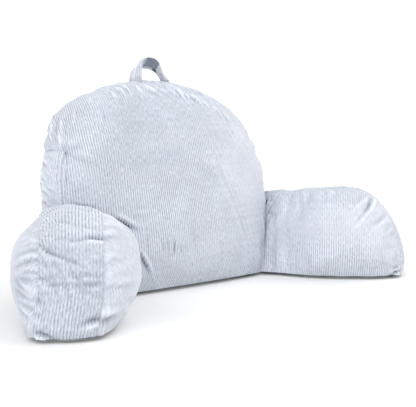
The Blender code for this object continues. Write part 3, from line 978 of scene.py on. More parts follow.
    def gusset(self, cover: Cover, seams: list[SeamLine], right: bool) -> Array:
        """Adds the side strip that stands under the cross seam.

        Args:
            cover: The cover that it is added to.
            seams: The seams of the backrest.
            right: True for the right-hand side.

        Returns:
            The index of each of its points in the mesh.
        """
        count = int(round(self.depth_of_cloth / RIB_PITCH)) * COLUMNS_A_RIB + 1
        share_up = np.concatenate([np.linspace(0.0, self.beside_arm, self.gusset_rows[0], endpoint=False),
                                   np.linspace(self.beside_arm, 1.0, self.gusset_rows[1])])
        steps = lerp(self.step_at(BASE_LIFT), self.step_at(self.gusset_top) - self.gusset_gap, share_up)
        steps = steps if right else 1.0 - steps[::-1]
        share = np.broadcast_to(np.linspace(STRIP_INSET, 1.0 - STRIP_INSET, count), (len(steps), count))
        points = self.strip(np.broadcast_to(steps[:, None], share.shape), share)
        up = np.broadcast_to(run_along(points[:, count // 2])[:, None], share.shape)
        place = (share * (count - 1) * COLUMN_STEP, up if right else up[-1] - up)
        return cover.dress(Dressing(seed=2.7, folds=self.gusset_folds), points, place, seams)

    def build(self, finish: "RibbedPlush") -> bpy.types.Object:
        """Builds the cover.

        Args:
            finish: Its cloth.

        Returns:
            The closed cover.
        """
        cover, named = Cover(), self.seam_lines()
        seams = list(named.values())

        flat = self.flat(Face.FRONT, self.front_rows)
        columns, across, height, smooth = flat.grid()
        wrap, wrap_across, share, first, last = self.wrap(flat, columns)
        lead = (wrap.shape[1] - (last - first + 1)) // 2
        middle = slice(lead, lead + last - first + 1)
        smooth[:, first:last + 1], wrap[:, middle] = self.blend(smooth[:, first:last + 1], wrap[:, middle])
        dressing = Dressing(0.0010, 1.15, 0.6, self.front_folds, self.front_nap_and_shade, seed=1.3)
        front = cover.dress(dressing, smooth, (across, height), seams)
        rise = flat.top(wrap_across) + share * self.depth_of_cloth
        top = cover.dress(dressing, wrap, (wrap_across, rise), seams)
        cover.continue_to(front[-1, first:last + 1], top[0, middle])

        flat_back = self.flat(Face.BACK, self.back_rows)
        _, across, height, smooth = flat_back.grid()
        back = cover.dress(Dressing(seed=-0.7), smooth, (across, height), [named["back"]], -1.0)
        right, left = (self.gusset(cover, seams, side) for side in (True, False))

        (f_left, f_right), (b_left, b_right) = flat.foot(), flat_back.foot()
        cover.sew(np.concatenate([front[0, f_right:], front[1:, -1], front[-1, last:-1][::-1]]), right[:, 0])
        cover.sew(np.concatenate([front[-1, :first + 1][::-1], front[-2::-1, 0], front[0, 1:f_left + 1]]),
                  left[:, 0])
        cover.sew(top[0, middle.stop - 1:], right[-1])
        cover.sew(top[0, :lead + 1][::-1], left[0])
        cover.sew(np.concatenate([back[0, b_right:], back[1:, -1], back[-1, -2::-1], back[-2::-1, 0],
                                  back[0, 1:b_left + 1]]),
                  np.concatenate([right[:, -1], top[-1, ::-1], left[:, -1]]))
        base = np.concatenate([front[0, f_left:f_right + 1], right[0], back[0, b_left:b_right + 1][::-1],
                               left[-1][::-1]])
        cover.close_base(base, np.array([0.0, self.base_middle, BASE_RINGS[-1][1]]), np.eye(3)[:2],
                         self.base_half)
        return cover.build("backrest_cover", finish)


# ---- Arms ----
class Side(Enum):
    """Which arm, as seen from the front."""

    LEFT = "left"
    RIGHT = "right"


RIGHT_TOP = (                                 # share of the length, share of the height
    (0.00, 0.905), (0.05, 0.955), (0.12, 0.985), (0.20, 0.970), (0.31, 0.975), (0.43, 0.995), (0.56, 1.015),
    (0.66, 1.01), (0.74, 0.975), (0.82, 0.890), (0.89, 0.760), (0.94, 0.605), (0.98, 0.40), (1.00, 0.19),
    (0.99, 0.003))
RIGHT_INNER_FOLDS = Fold.table(               # distance from the rear, height
    (2, 178, 66, 13, 3, 8.5, -0.4), (10, 176, 60, 14, 2.4, 3.2, -0.6), (1.5, 110, 90, 60, 2.2, 4, 0.2),
    (17, 172, 62, 13, 2.4, 2, -0.6), (24, 174, 60, 11, 2.4, 1.5, -0.6), (7, 150, 64, 12, 2.6, 1.8, -0.5),
    (30, 140, 66, 16, 6, 1, -0.5), (259, 177, 62, 13, 4, 5.6, -0.8), (243, 156, 47, 24, 3.4, 2.8, -0.8),
    (235, 187, 32, 20, 4.2, 1.8, -0.8), (288, 144, 36, 12, 4.2, 3.2, -0.8),
    (271, 134, 36, 14, 4, 1.6, -0.8), (304, 122, 35, 8, 4, 2.2, -0.7), (319, 107, 30, 8, 4, 1.4, -0.7),
    (328, 28, 24, 10, 4, 3, -0.6), (334, 17, 22, 12, 4, 6, -0.6), (322, 9, 8, 16, 4, 3, -0.6),
    (120, 190, 70, 16, 8, 1, 0.6), (96, 152, 60, 14, 7, 0.9, 0.6), (150, 180, 55, 16, 8, 0.9, 0.6),
    (178, 193, 62, 14, 7, 0.9, 0.6))


@dataclass
class Arm:
    """A filled D-shaped arm: two panels and a strip that runs over the top and down the front end."""

    side: Side
    backrest: Backrest
    splay: float
    length: float = 0.340
    height: float = 0.193
    strip_width: float = 0.112
    crown_in: float = 0.076
    crown_out: float = 0.045
    rib_show: float = 1.1                     # how clearly the ribs of its two panels show
    lean: float = 0.0                         # how far the arm's top leans inwards
    base_in: float = 0.40                     # share of each crown that is left where the arm meets the floor
    base_out: float = 0.08
    strip_bulge: tuple[float, float] = (0.0155, 0.015)           # over the top, down the front end
    tilt: float = 0.008                       # how far the inner seam stands above the middle at the top
    foot_tuck: float = 0.003                  # how far each side draws in at the front foot
    foot_bulge: float = 0.9                   # share of the strip's bulge that is left at the floor
    bulge_grows: tuple[float, float] = (6.0 / 34.0, 3.5 / 34.0)  # over this share of the strip: rear, foot
    gap: float = 0.0010
    rear_rows: int = 20                       # of the plain cloth that the backrest hides
    rear_columns: int = 12
    rows: int = 76
    strip_rows: int = 220
    top: tuple[tuple[float, float], ...] = (  # share of the length, share of the height
        (0.00, 0.92), (0.06, 0.955), (0.20, 0.975), (0.42, 1.00), (0.56, 1.015), (0.66, 1.01),
        (0.74, 0.975), (0.82, 0.890), (0.89, 0.760), (0.94, 0.605), (0.98, 0.40), (1.00, 0.19), (0.99, 0.003))
    inner_nap_and_shade: tuple[NapAndShadePatch, ...] = ()   # distance from the rear, height
    outer_nap_and_shade: tuple[NapAndShadePatch, ...] = ()
    strip_nap_and_shade: tuple[NapAndShadePatch, ...] = NapAndShadePatch.table(
        (50, 345, 70, 45, 0.6, 0.58), (56, 430, 90, 70, 0.3, 1.5))
    strip_folds: tuple[Fold, ...] = Fold.table(   # distance across from the inner seam, from the top rear
        (9, 302, 9, 20, 3.8, 5.4), (34, 308, 14, 20, 3.2, 2), (62, 307, -16, 20, 4, 1.6),
        (58, 342, -27, 26, 3, 2.2), (82, 329, -34, 18, 3, 2.8), (101, 311, -52, 18, 3.4, 3.4),
        (22, 383, 4, 16, 3.5, 3), (46, 371, -30, 9, 3.5, 2.2), (45, 385, 0, 20, 3.5, 1.4),
        (98, 369, -32, 16, 4.2, 2.4), (74, 379, -18, 18, 3.8, 1.4), (106, 404, -30, 12, 6, 3),
        (8, 438, 3, 13, 4.2, 5.2, 0.5), (22, 441, 10, 14, 3.6, 2.4), (92, 458, -12, 11, 4.6, 5.6, 0.8),
        (78, 463, -14, 12, 3.8, 3, 0.8), (62, 272, -24, 26, 4, 1.4), (24, 285, -8, 18, 4, 1.2),
        (94, 345, -30, 14, 3.6, 1.4), (70, 358, 4, 16, 4, 1), (30, 395, 2, 20, 4, 1),
        (100, 428, -20, 12, 4.5, 1.4))
    inner_folds: tuple[Fold, ...] = Fold.table(   # distance from the rear, height
        (294, 164, 6, 22, 4.2, 4.6), (305, 84, 3, 30, 4.4, 2.2), (330, 33, 8, 24, 6, 4.8, 0.5),
        (276, 56, 20, 18, 5, 2), (262, 176, 35, 22, 4.4, 1.8), (304, 125, -12, 20, 4.4, 1.6),
        (308, 146, 22, 16, 3.6, 1.2), (312, 104, -20, 16, 3.6, 1.2), (231, 183, -42, 22, 6, -1.8, -0.2),
        (249, 157, -62, 18, 6, -1.4, -0.2))
    outer_folds: tuple[Fold, ...] = Fold.table(   # distance from the rear, height
        (306, 101, 6, 24, 4.4, 3.4), (308, 76, -14, 24, 4.2, 3.6), (322, 58, -10, 22, 5, 3),
        (300, 172, 42, 24, 4.2, 2.4, 0.6), (292, 150, 40, 26, 4.2, 2.4, 0.6),
        (296, 128, 34, 22, 4.2, 2.2, 0.6), (310, 138, 36, 16, 3.4, 2.2, 0.6),
        (312, 114, 20, 16, 3.4, 2.2, 0.6), (306, 88, -20, 20, 3.6, 4, 0.6), (316, 44, -24, 16, 3.6, 3, 0.6))
    inner_puckers: Puckers = Puckers(seed=1.1)
    outer_puckers: Puckers = Puckers(seed=3.0)
    path: Array = field(init=False)               # smooth outline of a panel
    tip: int = field(init=False)                  # its foremost point

    def __post_init__(self) -> None:
        """Draws the smooth outline of a panel."""
        self.path = smooth_path(np.asarray(self.top) * (self.length, self.height))
        self.tip = int(np.argmax(self.path[:, 0]))

    def frame(self) -> tuple[Array, Array]:
        """Directions along the arm and outwards, in plan."""
        along = np.array([math.sin(self.splay), -math.cos(self.splay), 0.0])
        return along, np.array([math.cos(self.splay), math.sin(self.splay), 0.0])

    def edge(self) -> PanelEdge:
        """The panel's lower and upper edge over the distance from the rear."""
        lower = np.maximum(np.vstack([[0.0, 0.0], self.path[self.tip:][::-1]]), (0.0, BASE_LIFT))
        centre = np.array([0.46 * self.length, PANEL_WAIST * self.height])
        return PanelEdge(lower, self.path[: self.tip + 1], centre)

    def fullness(self, s: Array, z: Array, base: float) -> Array:
        """Fullness of a panel, from 0 on its seam to about 1.

        Args:
            s: Distance from the rear.
            z: Height.
            base: Share of the fullness that is left on the floor.

        Returns:
            The fullness at each place.
        """
        ceiling = np.interp(s, *self.path[: self.tip + 1].T)
        share = np.clip(z / np.maximum(ceiling, 1e-4), 0.0, 1.0)
        along = np.clip(s / self.length, 0.0, 1.0)
        rise = 1.0 - np.abs(2.0 * share ** 0.97 - 1.0) ** 3.1
        rise = np.where(share < 0.45, base + (1.0 - base) * rise, rise)
        rear = ease(0.06 + along / 0.48) - ease(0.06) * (1.0 - along)
        front = (1.0 - np.clip((along - 0.48) / 0.52, 0.0, 1.0) ** 2.8) ** 0.85
        return rise * rear * front

    def place(self, s: Array, z: Array, share: Array, out: Array) -> Array:
        """A point of the right-hand arm.

        Args:
            s: Distance from the rear.
            z: Height.
            share: Share of the way from the inner to the outer seam.
            out: Swell, outwards.

        Returns:
            Points in space.
        """
        along, outwards = self.frame()
        reach = (s / self.length)[..., None]
        drawn = self.foot_tuck * np.clip(1.0 - z / 0.045, 0.0, 1.0) ** 2 * ease(s / self.length / 0.5)
        share = 0.5 + (share - 0.5) * (1.0 - 2.0 * drawn / self.strip_width)
        rear_in, rear_out = self.backrest.front.side(z), self.backrest.back.side(z)
        foot = self.backrest.front.side(np.zeros_like(z)) + z[..., None] * UP
        line_in = lerp(rear_in, foot, ease(reach / 0.5)) + s[..., None] * along
        elbow = foot + outwards * self.strip_width * 1.10 + 0.18 * self.length * along
        tip_out = foot + outwards * self.strip_width + self.length * along
        line_out = rear_out * (1.0 - reach) ** 2 + 2.0 * elbow * reach * (1.0 - reach) + tip_out * reach ** 2
        point = lerp(line_in, line_out, np.asarray(share)[..., None]) + outwards * np.asarray(out)[..., None]
        point = point - outwards * (self.lean * ease(z / 0.10) * ease(reach[..., 0] / 0.6))[..., None]
        point[..., 0] += self.gap
        point[..., 2] += self.tilt * (1.0 - 2.0 * share) * (z / self.height) ** 2 * ease(reach[..., 0] / 0.25)
        return point

    def surface(self, face: Face, s: Array, z: Array) -> Array:
        """The smooth inner (front) or outer (back) panel."""
        share = np.full_like(s, 0.0 if face is Face.FRONT else 1.0)
        return self.place(s, z, share, self.swell(s, z, share))

    def swell(self, s: Array, z: Array, share: Array) -> Array:
        """How far the crowns push out a point, `share` of the way from the inner to the outer panel."""
        return lerp(-self.crown_in * self.fullness(s, z, self.base_in),
                    self.crown_out * self.fullness(s, z, self.base_out), share)

    def columns(self, face: Face, edge: PanelEdge) -> tuple[Array, Array]:
        """Columns that lie a quarter of a rib apart on the cloth.

        Args:
            face: Which panel.
            edge: Its edges.

        Returns:
            Distance from the rear, and distance across the cloth.
        """
        s = np.linspace(float(edge.upper[0, 0]), float(edge.upper[-1, 0]) - 1e-5, 1201)
        run = run_along(self.surface(face, s, np.full_like(s, PANEL_WAIST * self.height)))
        count = int(round(run[-1] / COLUMN_STEP)) + 1
        return np.interp(np.linspace(0.0, run[-1], count), run, s), np.arange(count) * COLUMN_STEP

    def seam_line(self, face: Face, puckers: Puckers) -> SeamLine:
        """The seam round a panel: up the rear, over the top and down the front end.

        Args:
            face: Which panel.
            puckers: The gathers beside the seam.

        Returns:
            The seam.
        """
        rear = np.stack([np.zeros(80), np.linspace(0.0, self.path[0, 1], 80, endpoint=False)], -1)
        loop = np.vstack([rear, evenly(self.path, 700)])
        s, z = loop.T
        share, into = (0.0, 1.0) if face is Face.FRONT else (1.0, -1.0)
        points = self.place(s, z, np.full_like(s, share), np.zeros_like(s))
        out = outward_of(loop)
        along, outwards = self.frame()
        inward = out[:, :1] * along + out[:, 1:] * UP + outwards * into
        return SeamLine(points, inward / math.sqrt(2.0), puckers)

    def strip(self) -> tuple[Array, Array, Array]:
        """The smooth strip.

        Returns:
            Points, distance across the ribs and distance along the strip.
        """
        kept = self.path[: len(self.path) - int(np.argmax(self.path[::-1, 1] > BASE_LIFT))]
        loop = evenly(kept, self.strip_rows)
        out = -outward_of(loop)
        count = int(round(self.strip_width / RIB_PITCH)) * COLUMNS_A_RIB + 1
        share = np.linspace(STRIP_INSET, 1.0 - STRIP_INSET, count)
        t = np.linspace(0.0, 1.0, self.strip_rows)
        rear, foot = self.bulge_grows
        free = ease(t / rear) * lerp(self.foot_bulge, 1.0, ease((1.0 - t) / foot))
        bulge = lerp(self.strip_bulge[0], self.strip_bulge[1], ease((t - 0.50) / 0.25)) * free
        swell = (4.0 * share * (1.0 - share))[None] * bulge[:, None]
        shares = np.broadcast_to(share, swell.shape)
        s, z = (np.broadcast_to(c[:, None], swell.shape) for c in loop.T)
        away = out[:, :1] * self.frame()[0] + out[:, 1:] * UP
        points = self.place(s, z, shares, np.zeros_like(s)) + away[:, None] * swell[..., None]
        run = np.broadcast_to(run_along(loop)[:, None], swell.shape)
        return points, shares * (count - 1) * COLUMN_STEP, run

    def build(self, finish: "RibbedPlush") -> bpy.types.Object:
        """Builds the cover.

        Args:
            finish: Its cloth.

        Returns:
            The closed cover.
        """
        cover, edge = Cover(), self.edge()
        seams = {Face.FRONT: self.seam_line(Face.FRONT, self.inner_puckers),
                 Face.BACK: self.seam_line(Face.BACK, self.outer_puckers)}
        grids, corners = {}, {}
        for face, folds, nap_and_shade, side in ((Face.FRONT, self.inner_folds, self.inner_nap_and_shade, 1.0),
                                           (Face.BACK, self.outer_folds, self.outer_nap_and_shade, -1.0)):
            columns, across = self.columns(face, edge)
            s, z = edge.grid(columns, self.rows)
            dressing = Dressing(0.0008 * self.rib_show, self.rib_show, 0.35, folds, nap_and_shade, seed=1.3 + side)
            grids[face] = cover.dress(dressing, self.surface(face, s, z), (s, z), [seams[face]], side,
                                      np.broadcast_to(across, s.shape))
            corners[face] = int(np.argmin(np.abs(columns - self.path[-1, 0] * edge.inset)))
        smooth, across, run = self.strip()
        dressing = Dressing(0.0010, 1.25, 0.35, self.strip_folds, self.strip_nap_and_shade, seed=4.1)
        strip = cover.dress(dressing, smooth, (across, run), list(seams.values()), -1.0)
        share, height = np.meshgrid(np.linspace(0.01, 0.99, self.rear_columns),
                                    np.linspace(BASE_LIFT, self.path[0, 1] - 0.001, self.rear_rows))
        plain = np.zeros_like(share)
        rear = cover.add(self.place(plain, height, share, plain),
                         np.stack([share * self.strip_width, height], -1), plain, plain)
        for face, column in ((Face.FRONT, 0), (Face.BACK, -1)):
            grid, corner = grids[face], corners[face]
            rim = np.concatenate([grid[-1], grid[-2::-1, -1], grid[0, corner:-1][::-1]])
            cover.sew(rim, strip[:, column])
            cover.sew(grid[:, 0], rear[:, column])
        cover.sew(strip[0], rear[-1])
        base = np.concatenate([grids[Face.FRONT][0, : corners[Face.FRONT] + 1], strip[-1],
                               grids[Face.BACK][0, : corners[Face.BACK] + 1][::-1], rear[0][::-1]])
        middle = self.place(*np.array([[0.45 * self.length], [BASE_RINGS[-1][1]], [0.5], [0.0]]))[0]
        cover.close_base(base, middle, self.frame(), (self.length / 2.0, self.strip_width / 2.0))
        return cover.build(f"arm_{self.side.value}_cover", finish, mirror=self.side is Side.LEFT)


# ---- Handle ----
@dataclass
class Handle:
    """A padded strap bent into a loop and sewn into the top of the backrest."""

    depth: float = 0.105
    lean: float = math.radians(8.0)
    half_width: float = 0.018
    rib_pitch: float = 0.0045
    rib_height: float = 0.0005
    sewn_in: float = 0.0012                   # how deep its ends dip into the cover
    around: int = 64
    along: int = 90
    stations: tuple[tuple[int, ...], ...] = (     # x, height, width and thickness in mm, twist in degrees
        (-55, 0, 44, 13, 0), (-53, 10, 43, 12, 0), (-50, 21, 42, 10, 4), (-45, 31, 40, 8, 12),
        (-36, 39, 37, 7, 26), (-21, 42, 35, 6, 35), (-6, 41, 34, 6, 36), (5, 36, 32, 7, 24),
        (14, 28, 30, 8, 0), (21, 19, 29, 9, -16), (28, 9, 29, 10, -16), (35, 0, 30, 12, -10))

    def build(self, backrest: bpy.types.Object, finish: "RibbedPlush") -> bpy.types.Object:
        """Builds the strap.

        Args:
            backrest: The cover that it is sewn to.
            finish: Its cloth.

        Returns:
            The closed strap.
        """
        tree = BVHTree.FromObject(backrest, bpy.context.evaluated_depsgraph_get())
        lean = np.array([0.0, math.sin(self.lean), math.cos(self.lean)])
        in_metres = np.array(self.stations) * (0.001, 0.001, 0.001, 0.001, 1.0)
        rows = evenly(smooth_path(in_metres), self.along)
        down = Vector((0.0, 0.0, -1.0))
        floor = tree.ray_cast(Vector((ORIGIN[0], ORIGIN[1] + self.depth, 1.0)), down)[0].z
        sideways = np.array([1.0, 0.0, 0.0])
        centres = np.array([0.0, self.depth, floor]) + rows[:, :1] * sideways + rows[:, 1:2] * lean
        tangent = np.gradient(centres, axis=0)
        tangent[:2], tangent[-2:] = lean, -lean
        tangent /= np.linalg.norm(tangent, axis=1)[:, None]
        across = np.cross(sideways, lean)
        wide = across - tangent * (tangent @ across)[:, None]
        thick = np.cross(tangent, wide)
        turn = np.radians(rows[:, 4])[:, None]
        wide, thick = wide * np.cos(turn) - thick * np.sin(turn), thick * np.cos(turn) + wide * np.sin(turn)
        angle = np.linspace(0.0, 2.0 * math.pi, self.around + 1)
        flat = np.sign(np.cos(angle)) * np.abs(np.cos(angle)) ** 0.62
        full = np.sign(np.sin(angle)) * np.abs(np.sin(angle)) ** 0.75
        points = (centres[:, None] + flat[None, :, None] * (wide * rows[:, 2:3] / 2.0)[:, None]
                  + full[None, :, None] * (thick * rows[:, 3:4] / 2.0)[:, None])
        for row in (0, -1):
            for k in range(points.shape[1]):
                x, y, _ = points[row, k] + ORIGIN
                points[row, k, 2] = tree.ray_cast(Vector((x, y, 1.0)), down)[0].z - self.sewn_in
        across = np.broadcast_to(flat * self.half_width, points.shape[:2])
        run = np.broadcast_to(run_along(centres)[:, None], points.shape[:2])
        rib = np.abs(np.cos(math.pi * across / self.rib_pitch))
        points = points - facing(points) * (self.rib_height * (rib - 0.5))[..., None]
        cover = Cover()
        edge = np.clip((np.abs(np.broadcast_to(flat, across.shape)) - 0.9) / 0.1, 0.0, 1.0)
        t = np.linspace(0.0, 1.0, self.along)[:, None]
        held = ease((t - 0.31) / 0.04) * ease((0.92 - t) / 0.10)    # where no light reaches the inside
        front = lerp(1.2, 0.1, ease((t - 0.52) / 0.14)) - 0.5 * ease((t - 0.68) / 0.2)
        inside = held * np.clip(full * 4.0, 0.0, 1.0) * ease((front - flat) / 0.2)
        inside = inside * ease((flat + lerp(0.55, 1.3, ease((t - 0.55) / 0.1))) / 0.15)
        # painted shade: a little along both edges of the strap, and deep on its inside where no light reaches
        painted_shade_and_highlight = edge * 0.3 + inside * lerp(1.15, 1.6, ease((t - 0.52) / 0.2))
        cloth = np.stack([across, run], -1)
        index = cover.add(*(grid[:, :-1] for grid in (points, cloth, 1.0 - rib, painted_shade_and_highlight)))
        cover.continue_to(index[:, -1], index[:, 0])
        for row in (0, -1):
            cover.cap(index[row], points[row, :-1].mean(axis=0))
        return cover.build("handle_strap", finish)


# ---- Finish ----
def linear(hex_colour: str) -> tuple[float, float, float, float]:
    """Linear colour of an sRGB hex value."""
    parts = [int(hex_colour[k:k + 2], 16) / 255.0 for k in (1, 3, 5)]
    return (*(c / 12.92 if c <= 0.04045 else ((c + 0.055) / 1.055) ** 2.4 for c in parts), 1.0)


def add_node(tree: bpy.types.NodeTree, kind: str, inputs: dict[str, object] | tuple[object, ...] = (),
             **settings: object) -> bpy.types.Node:
    """Adds a node.

    Args:
        tree: The node tree.
        kind: The node's type name without "ShaderNode".
        inputs: By name or in their order: a value for an input, or a socket that feeds it.
        **settings: Properties of the node.

    Returns:
        The node.
    """
    node = tree.nodes.new("ShaderNode" + kind)
    for key, value in settings.items():
        setattr(node, key, value)
    for key, value in inputs.items() if isinstance(inputs, dict) else enumerate(inputs):
        if isinstance(value, bpy.types.NodeSocket):
            tree.links.new(value, node.inputs[key])
        else:
            node.inputs[key].default_value = value
    return node


@dataclass(frozen=True)
class RibbedPlush:
    """Polyester plush with wide ribs: short dense pile that scatters light and glows at grazing angles."""

    pile: str = "#D7DBE2"           # lit top of a rib
    valley: str = "#9DA6B3"         # painted shade in the grooves between ribs
    seam_shade: str = "#6F7988"     # painted shade in a seam or a crease
    deep_shade: str = "#1B1E24"     # where no light gets in: under the base edge, in the deepest creases
    sheen_tint: str = "#EEF2F9"
    roughness: float = 0.92
    sheen: float = 0.75
    sheen_roughness: float = 0.35
    specular: float = 0.12
    tuft_mm: tuple[float, float] = (2.4, 9.0)   # clumps of tufts: real ones are 0.5 mm, too fine to show

    def material(self, name: str) -> bpy.types.Material:
        """The plush as a node material.

        Args:
            name: Name of the material.

        Returns:
            The material.
        """
        made = bpy.data.materials.new(name)
        made.use_nodes = True
        tree = made.node_tree
        groove = add_node(tree, "Attribute", attribute_name="groove").outputs["Fac"]
        painted_shade_and_highlight = add_node(tree, "Attribute", attribute_name="painted_shade_and_highlight").outputs["Fac"]
        where = add_node(tree, "TexCoord").outputs["Object"]
        patches = add_node(tree, "TexNoise", {"Vector": where, "Scale": 11.0, "Detail": 3.0,
                                              "Roughness": 0.6})
        cloth = add_node(tree, "UVMap", uv_map="cloth").outputs["UV"]
        a_metre = (1000.0 / self.tuft_mm[0], 1000.0 / self.tuft_mm[1], 1.0)
        stretch = add_node(tree, "Mapping", {"Vector": cloth, "Scale": a_metre})
        tufts = add_node(tree, "TexNoise", {"Vector": stretch.outputs["Vector"], "Scale": 1.0, "Detail": 2.0,
                                            "Roughness": 0.6}).outputs["Fac"]
        crushed = add_node(tree, "MapRange", (tufts, 0.30, 0.70, 0.50, 1.30))
        broken = add_node(tree, "Math", (groove, crushed.outputs[0]), operation="MULTIPLY", use_clamp=True)
        # painted shade of seams and creases, then deep painted shade where the attribute passes 1
        depth = add_node(tree, "Math", (painted_shade_and_highlight, 0.62), operation="MULTIPLY")
        deepest = add_node(tree, "Math", (painted_shade_and_highlight, 1.0), operation="SUBTRACT", use_clamp=True)
        colour = linear(self.pile)
        for share, shade in ((broken, self.valley), (depth, self.seam_shade), (deepest, self.deep_shade)):
            colour = add_node(tree, "Mix", {"Factor": share.outputs[0], "A": colour, "B": linear(shade)},
                              data_type="RGBA").outputs["Result"]
        nap = add_node(tree, "MapRange", (patches.outputs["Fac"], 0.3, 0.7, 0.92, 1.05))
        speck = add_node(tree, "MapRange", (tufts, 0.3, 0.7, 1.08, 0.90))
        # painted highlight on ridges, where the attribute is below 0; the nap patches are the cloth's own
        # uneven tone
        crest = add_node(tree, "MapRange", (painted_shade_and_highlight, -1.0, 0.0, 1.22, 1.0))
        nap_and_ridge_highlight = add_node(tree, "Math", (nap.outputs[0], crest.outputs[0]), operation="MULTIPLY")
        both = add_node(tree, "Math", (nap_and_ridge_highlight.outputs[0], speck.outputs[0]), operation="MULTIPLY")
        tone = add_node(tree, "VectorMath", {0: colour, "Scale": both.outputs[0]}, operation="SCALE")
        fuzz = add_node(tree, "Bump", {"Height": tufts, "Strength": 0.5, "Distance": 0.0008})
        shader = tree.nodes["Principled BSDF"]
        tree.links.new(tone.outputs["Vector"], shader.inputs["Base Color"])
        tree.links.new(fuzz.outputs["Normal"], shader.inputs["Normal"])
        shader.inputs["Roughness"].default_value = self.roughness
        shader.inputs["Specular IOR Level"].default_value = self.specular
        shader.inputs["Sheen Weight"].default_value = self.sheen
        shader.inputs["Sheen Roughness"].default_value = self.sheen_roughness
        shader.inputs["Sheen Tint"].default_value = linear(self.sheen_tint)
        return made


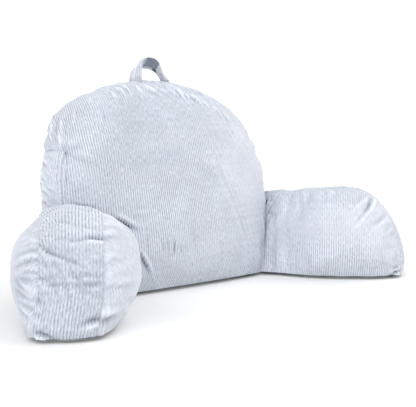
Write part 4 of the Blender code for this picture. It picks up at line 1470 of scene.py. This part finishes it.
# ---- Studio ----
@dataclass
class Studio:
    """Plain pale paper, soft light and the camera at the photograph's angle."""

    eye: tuple[float, float, float] = (-1.2209, -1.4031, 0.3353)    # in the backrest's own coordinates
    heading: float = math.radians(42.7642)    # from +Y towards +X
    dip: float = math.radians(4.3843)
    focal_px: float = 812.49
    frame_px: int = 416
    world_strength: float = 0.36
    daylight: str = "#FCFCFD"
    paper: str = "#E6E6E6"
    paper_glow: float = 0.12                  # the paper is lit from behind, so that it holds no shadow
    paper_ahead: float = 40.0                 # how far it runs towards the camera, and to either side
    paper_behind: float = 9.0                 # where it begins to curve up
    paper_bend: float = 2.0                   # radius of that curve
    paper_height: float = 16.0
    lamps: tuple[tuple[str, float, float, float, float], ...] = (
        ("front_light", -45.0, 30.0, 1.75, 80.0), ("right_light", 76.0, 36.0, 2.00, 80.0),
        ("left_light", -92.0, 30.0, 0.85, 60.0), ("top_light", 0.0, 88.0, 0.20, 80.0))

    def camera(self) -> None:
        """Places the camera, without shift or depth of field."""
        data = bpy.data.cameras.new("studio_camera")
        data.sensor_width = 36.0
        data.lens = self.focal_px * data.sensor_width / self.frame_px
        data.clip_start, data.clip_end = 0.01, 200.0
        eye = bpy.data.objects.new("studio_camera", data)
        level = math.cos(self.dip)
        look = Vector((math.sin(self.heading) * level, math.cos(self.heading) * level, -math.sin(self.dip)))
        eye.location = Vector(self.eye) + Vector(ORIGIN)
        eye.rotation_mode = "QUATERNION"
        eye.rotation_quaternion = look.to_track_quat("-Z", "Y")
        bpy.context.scene.collection.objects.link(eye)
        bpy.context.scene.camera = eye

    def lamp(self, name: str, heading: float, height: float, strength: float, spread: float) -> None:
        """One large soft lamp, far away.

        Args:
            name: Name of the lamp.
            heading: Degrees from -Y towards +X that it stands at.
            height: Degrees above the floor.
            strength: Light on a surface that faces it.
            spread: Its width in degrees.
        """
        data = bpy.data.lights.new(name, "SUN")
        data.energy, data.angle = strength, math.radians(spread)
        lamp = bpy.data.objects.new(name, data)
        a, e = math.radians(heading), math.radians(height)
        away = Vector((math.sin(a) * math.cos(e), -math.cos(a) * math.cos(e), math.sin(e)))
        lamp.rotation_mode = "QUATERNION"
        lamp.rotation_quaternion = (-away).to_track_quat("-Z", "Y")
        bpy.context.scene.collection.objects.link(lamp)

    def sweep(self) -> None:
        """Lays the paper: flat under the pillow, curved up behind it."""
        ahead = np.array([math.sin(self.heading), math.cos(self.heading), 0.0])
        across = np.array([ahead[1], -ahead[0], 0.0])
        bend = np.linspace(0.0, math.pi / 2.0, 12)
        back, radius = self.paper_behind, self.paper_bend
        profile = [(-self.paper_ahead, 0.0),
                   *((back + radius * math.sin(a), radius - radius * math.cos(a)) for a in bend),
                   (back + radius, self.paper_height)]
        edge = np.array([ahead * run + (0.0, 0.0, height) for run, height in profile])
        count = len(edge)
        mesh = bpy.data.meshes.new("studio_sweep")
        across = across * self.paper_ahead
        mesh.from_pydata(np.vstack([edge - across, edge + across]).tolist(), [],
                         [(k, k + count, k + count + 1, k + 1) for k in range(count - 1)])
        sweep = bpy.data.objects.new("studio_sweep", mesh)
        bpy.context.scene.collection.objects.link(sweep)
        paper = bpy.data.materials.new("studio_paper")
        paper.use_nodes = True
        shader = paper.node_tree.nodes["Principled BSDF"]
        shader.inputs["Base Color"].default_value = linear(self.paper)
        shader.inputs["Roughness"].default_value = 0.9
        shader.inputs["Specular IOR Level"].default_value = 0.0
        shader.inputs["Emission Color"].default_value = linear("#FFFFFF")
        shader.inputs["Emission Strength"].default_value = self.paper_glow
        mesh.materials.append(paper)

    def build(self) -> None:
        """Makes the paper sweep, the daylight, the lamps and the camera."""
        self.sweep()
        world = bpy.data.worlds.new("studio")
        world.use_nodes = True
        daylight = world.node_tree.nodes["Background"]
        daylight.inputs["Color"].default_value = linear(self.daylight)
        daylight.inputs["Strength"].default_value = self.world_strength
        bpy.context.scene.world = world
        for lamp in self.lamps:
            self.lamp(*lamp)
        self.camera()
        view = bpy.context.scene.view_settings
        view.view_transform, view.look = "Standard", "None"


def main() -> None:
    """Builds the pillow's pieces in order and reports each of them."""
    logging.basicConfig(level=logging.INFO, format="%(message)s")
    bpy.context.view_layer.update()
    Studio().build()
    plush = RibbedPlush()
    backrest = Backrest()
    right = Arm(Side.RIGHT, backrest, math.radians(40.0), height=0.209, strip_bulge=(0.004, 0.011),
                top=RIGHT_TOP, rib_show=0.85, inner_folds=RIGHT_INNER_FOLDS, strip_nap_and_shade=(), strip_folds=(),
                inner_nap_and_shade=NapAndShadePatch.table((150, 188, 150, 30, 0.4, 0.95), (150, 135, 150, 34, 0.6, 0.08),
                                            (290, 130, 60, 70, 0.65, 0.18), (170, 50, 170, 55, -0.45),
                                            (40, 80, 26, 55, 0.65, 0)))
    left = Arm(Side.LEFT, backrest, math.radians(34.5), lean=0.012, crown_in=0.068, crown_out=0.054,
               rib_show=0.6, inner_puckers=Puckers(0.015, 0.0020, 0.020, 0.8, 1.1),
               outer_puckers=Puckers(0.014, 0.0028, 0.022, 0.9, 3.0),
               inner_nap_and_shade=NapAndShadePatch.table((220, 150, 190, 85, 0.92, 0.55)),
               outer_nap_and_shade=NapAndShadePatch.table((240, 140, 160, 80, 0.5, 1.6), (290, 50, 80, 60, 0.3, 1.9)))
    back_cover = backrest.build(plush)
    pieces = [(back_cover, "backrest", 0.8), (right.build(plush), "arm_right", 0.75),
              (left.build(plush), "arm_left", 0.75), (Handle().build(back_cover, plush), "handle", None)]
    for piece, node, fill in pieces:
        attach(piece, "root")
        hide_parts(node)
        LOG.info("%s: %d points, %d faces", piece.name, len(piece.data.vertices), len(piece.data.polygons))
    bpy.context.view_layer.update()


if __name__ == "__main__":
    main()
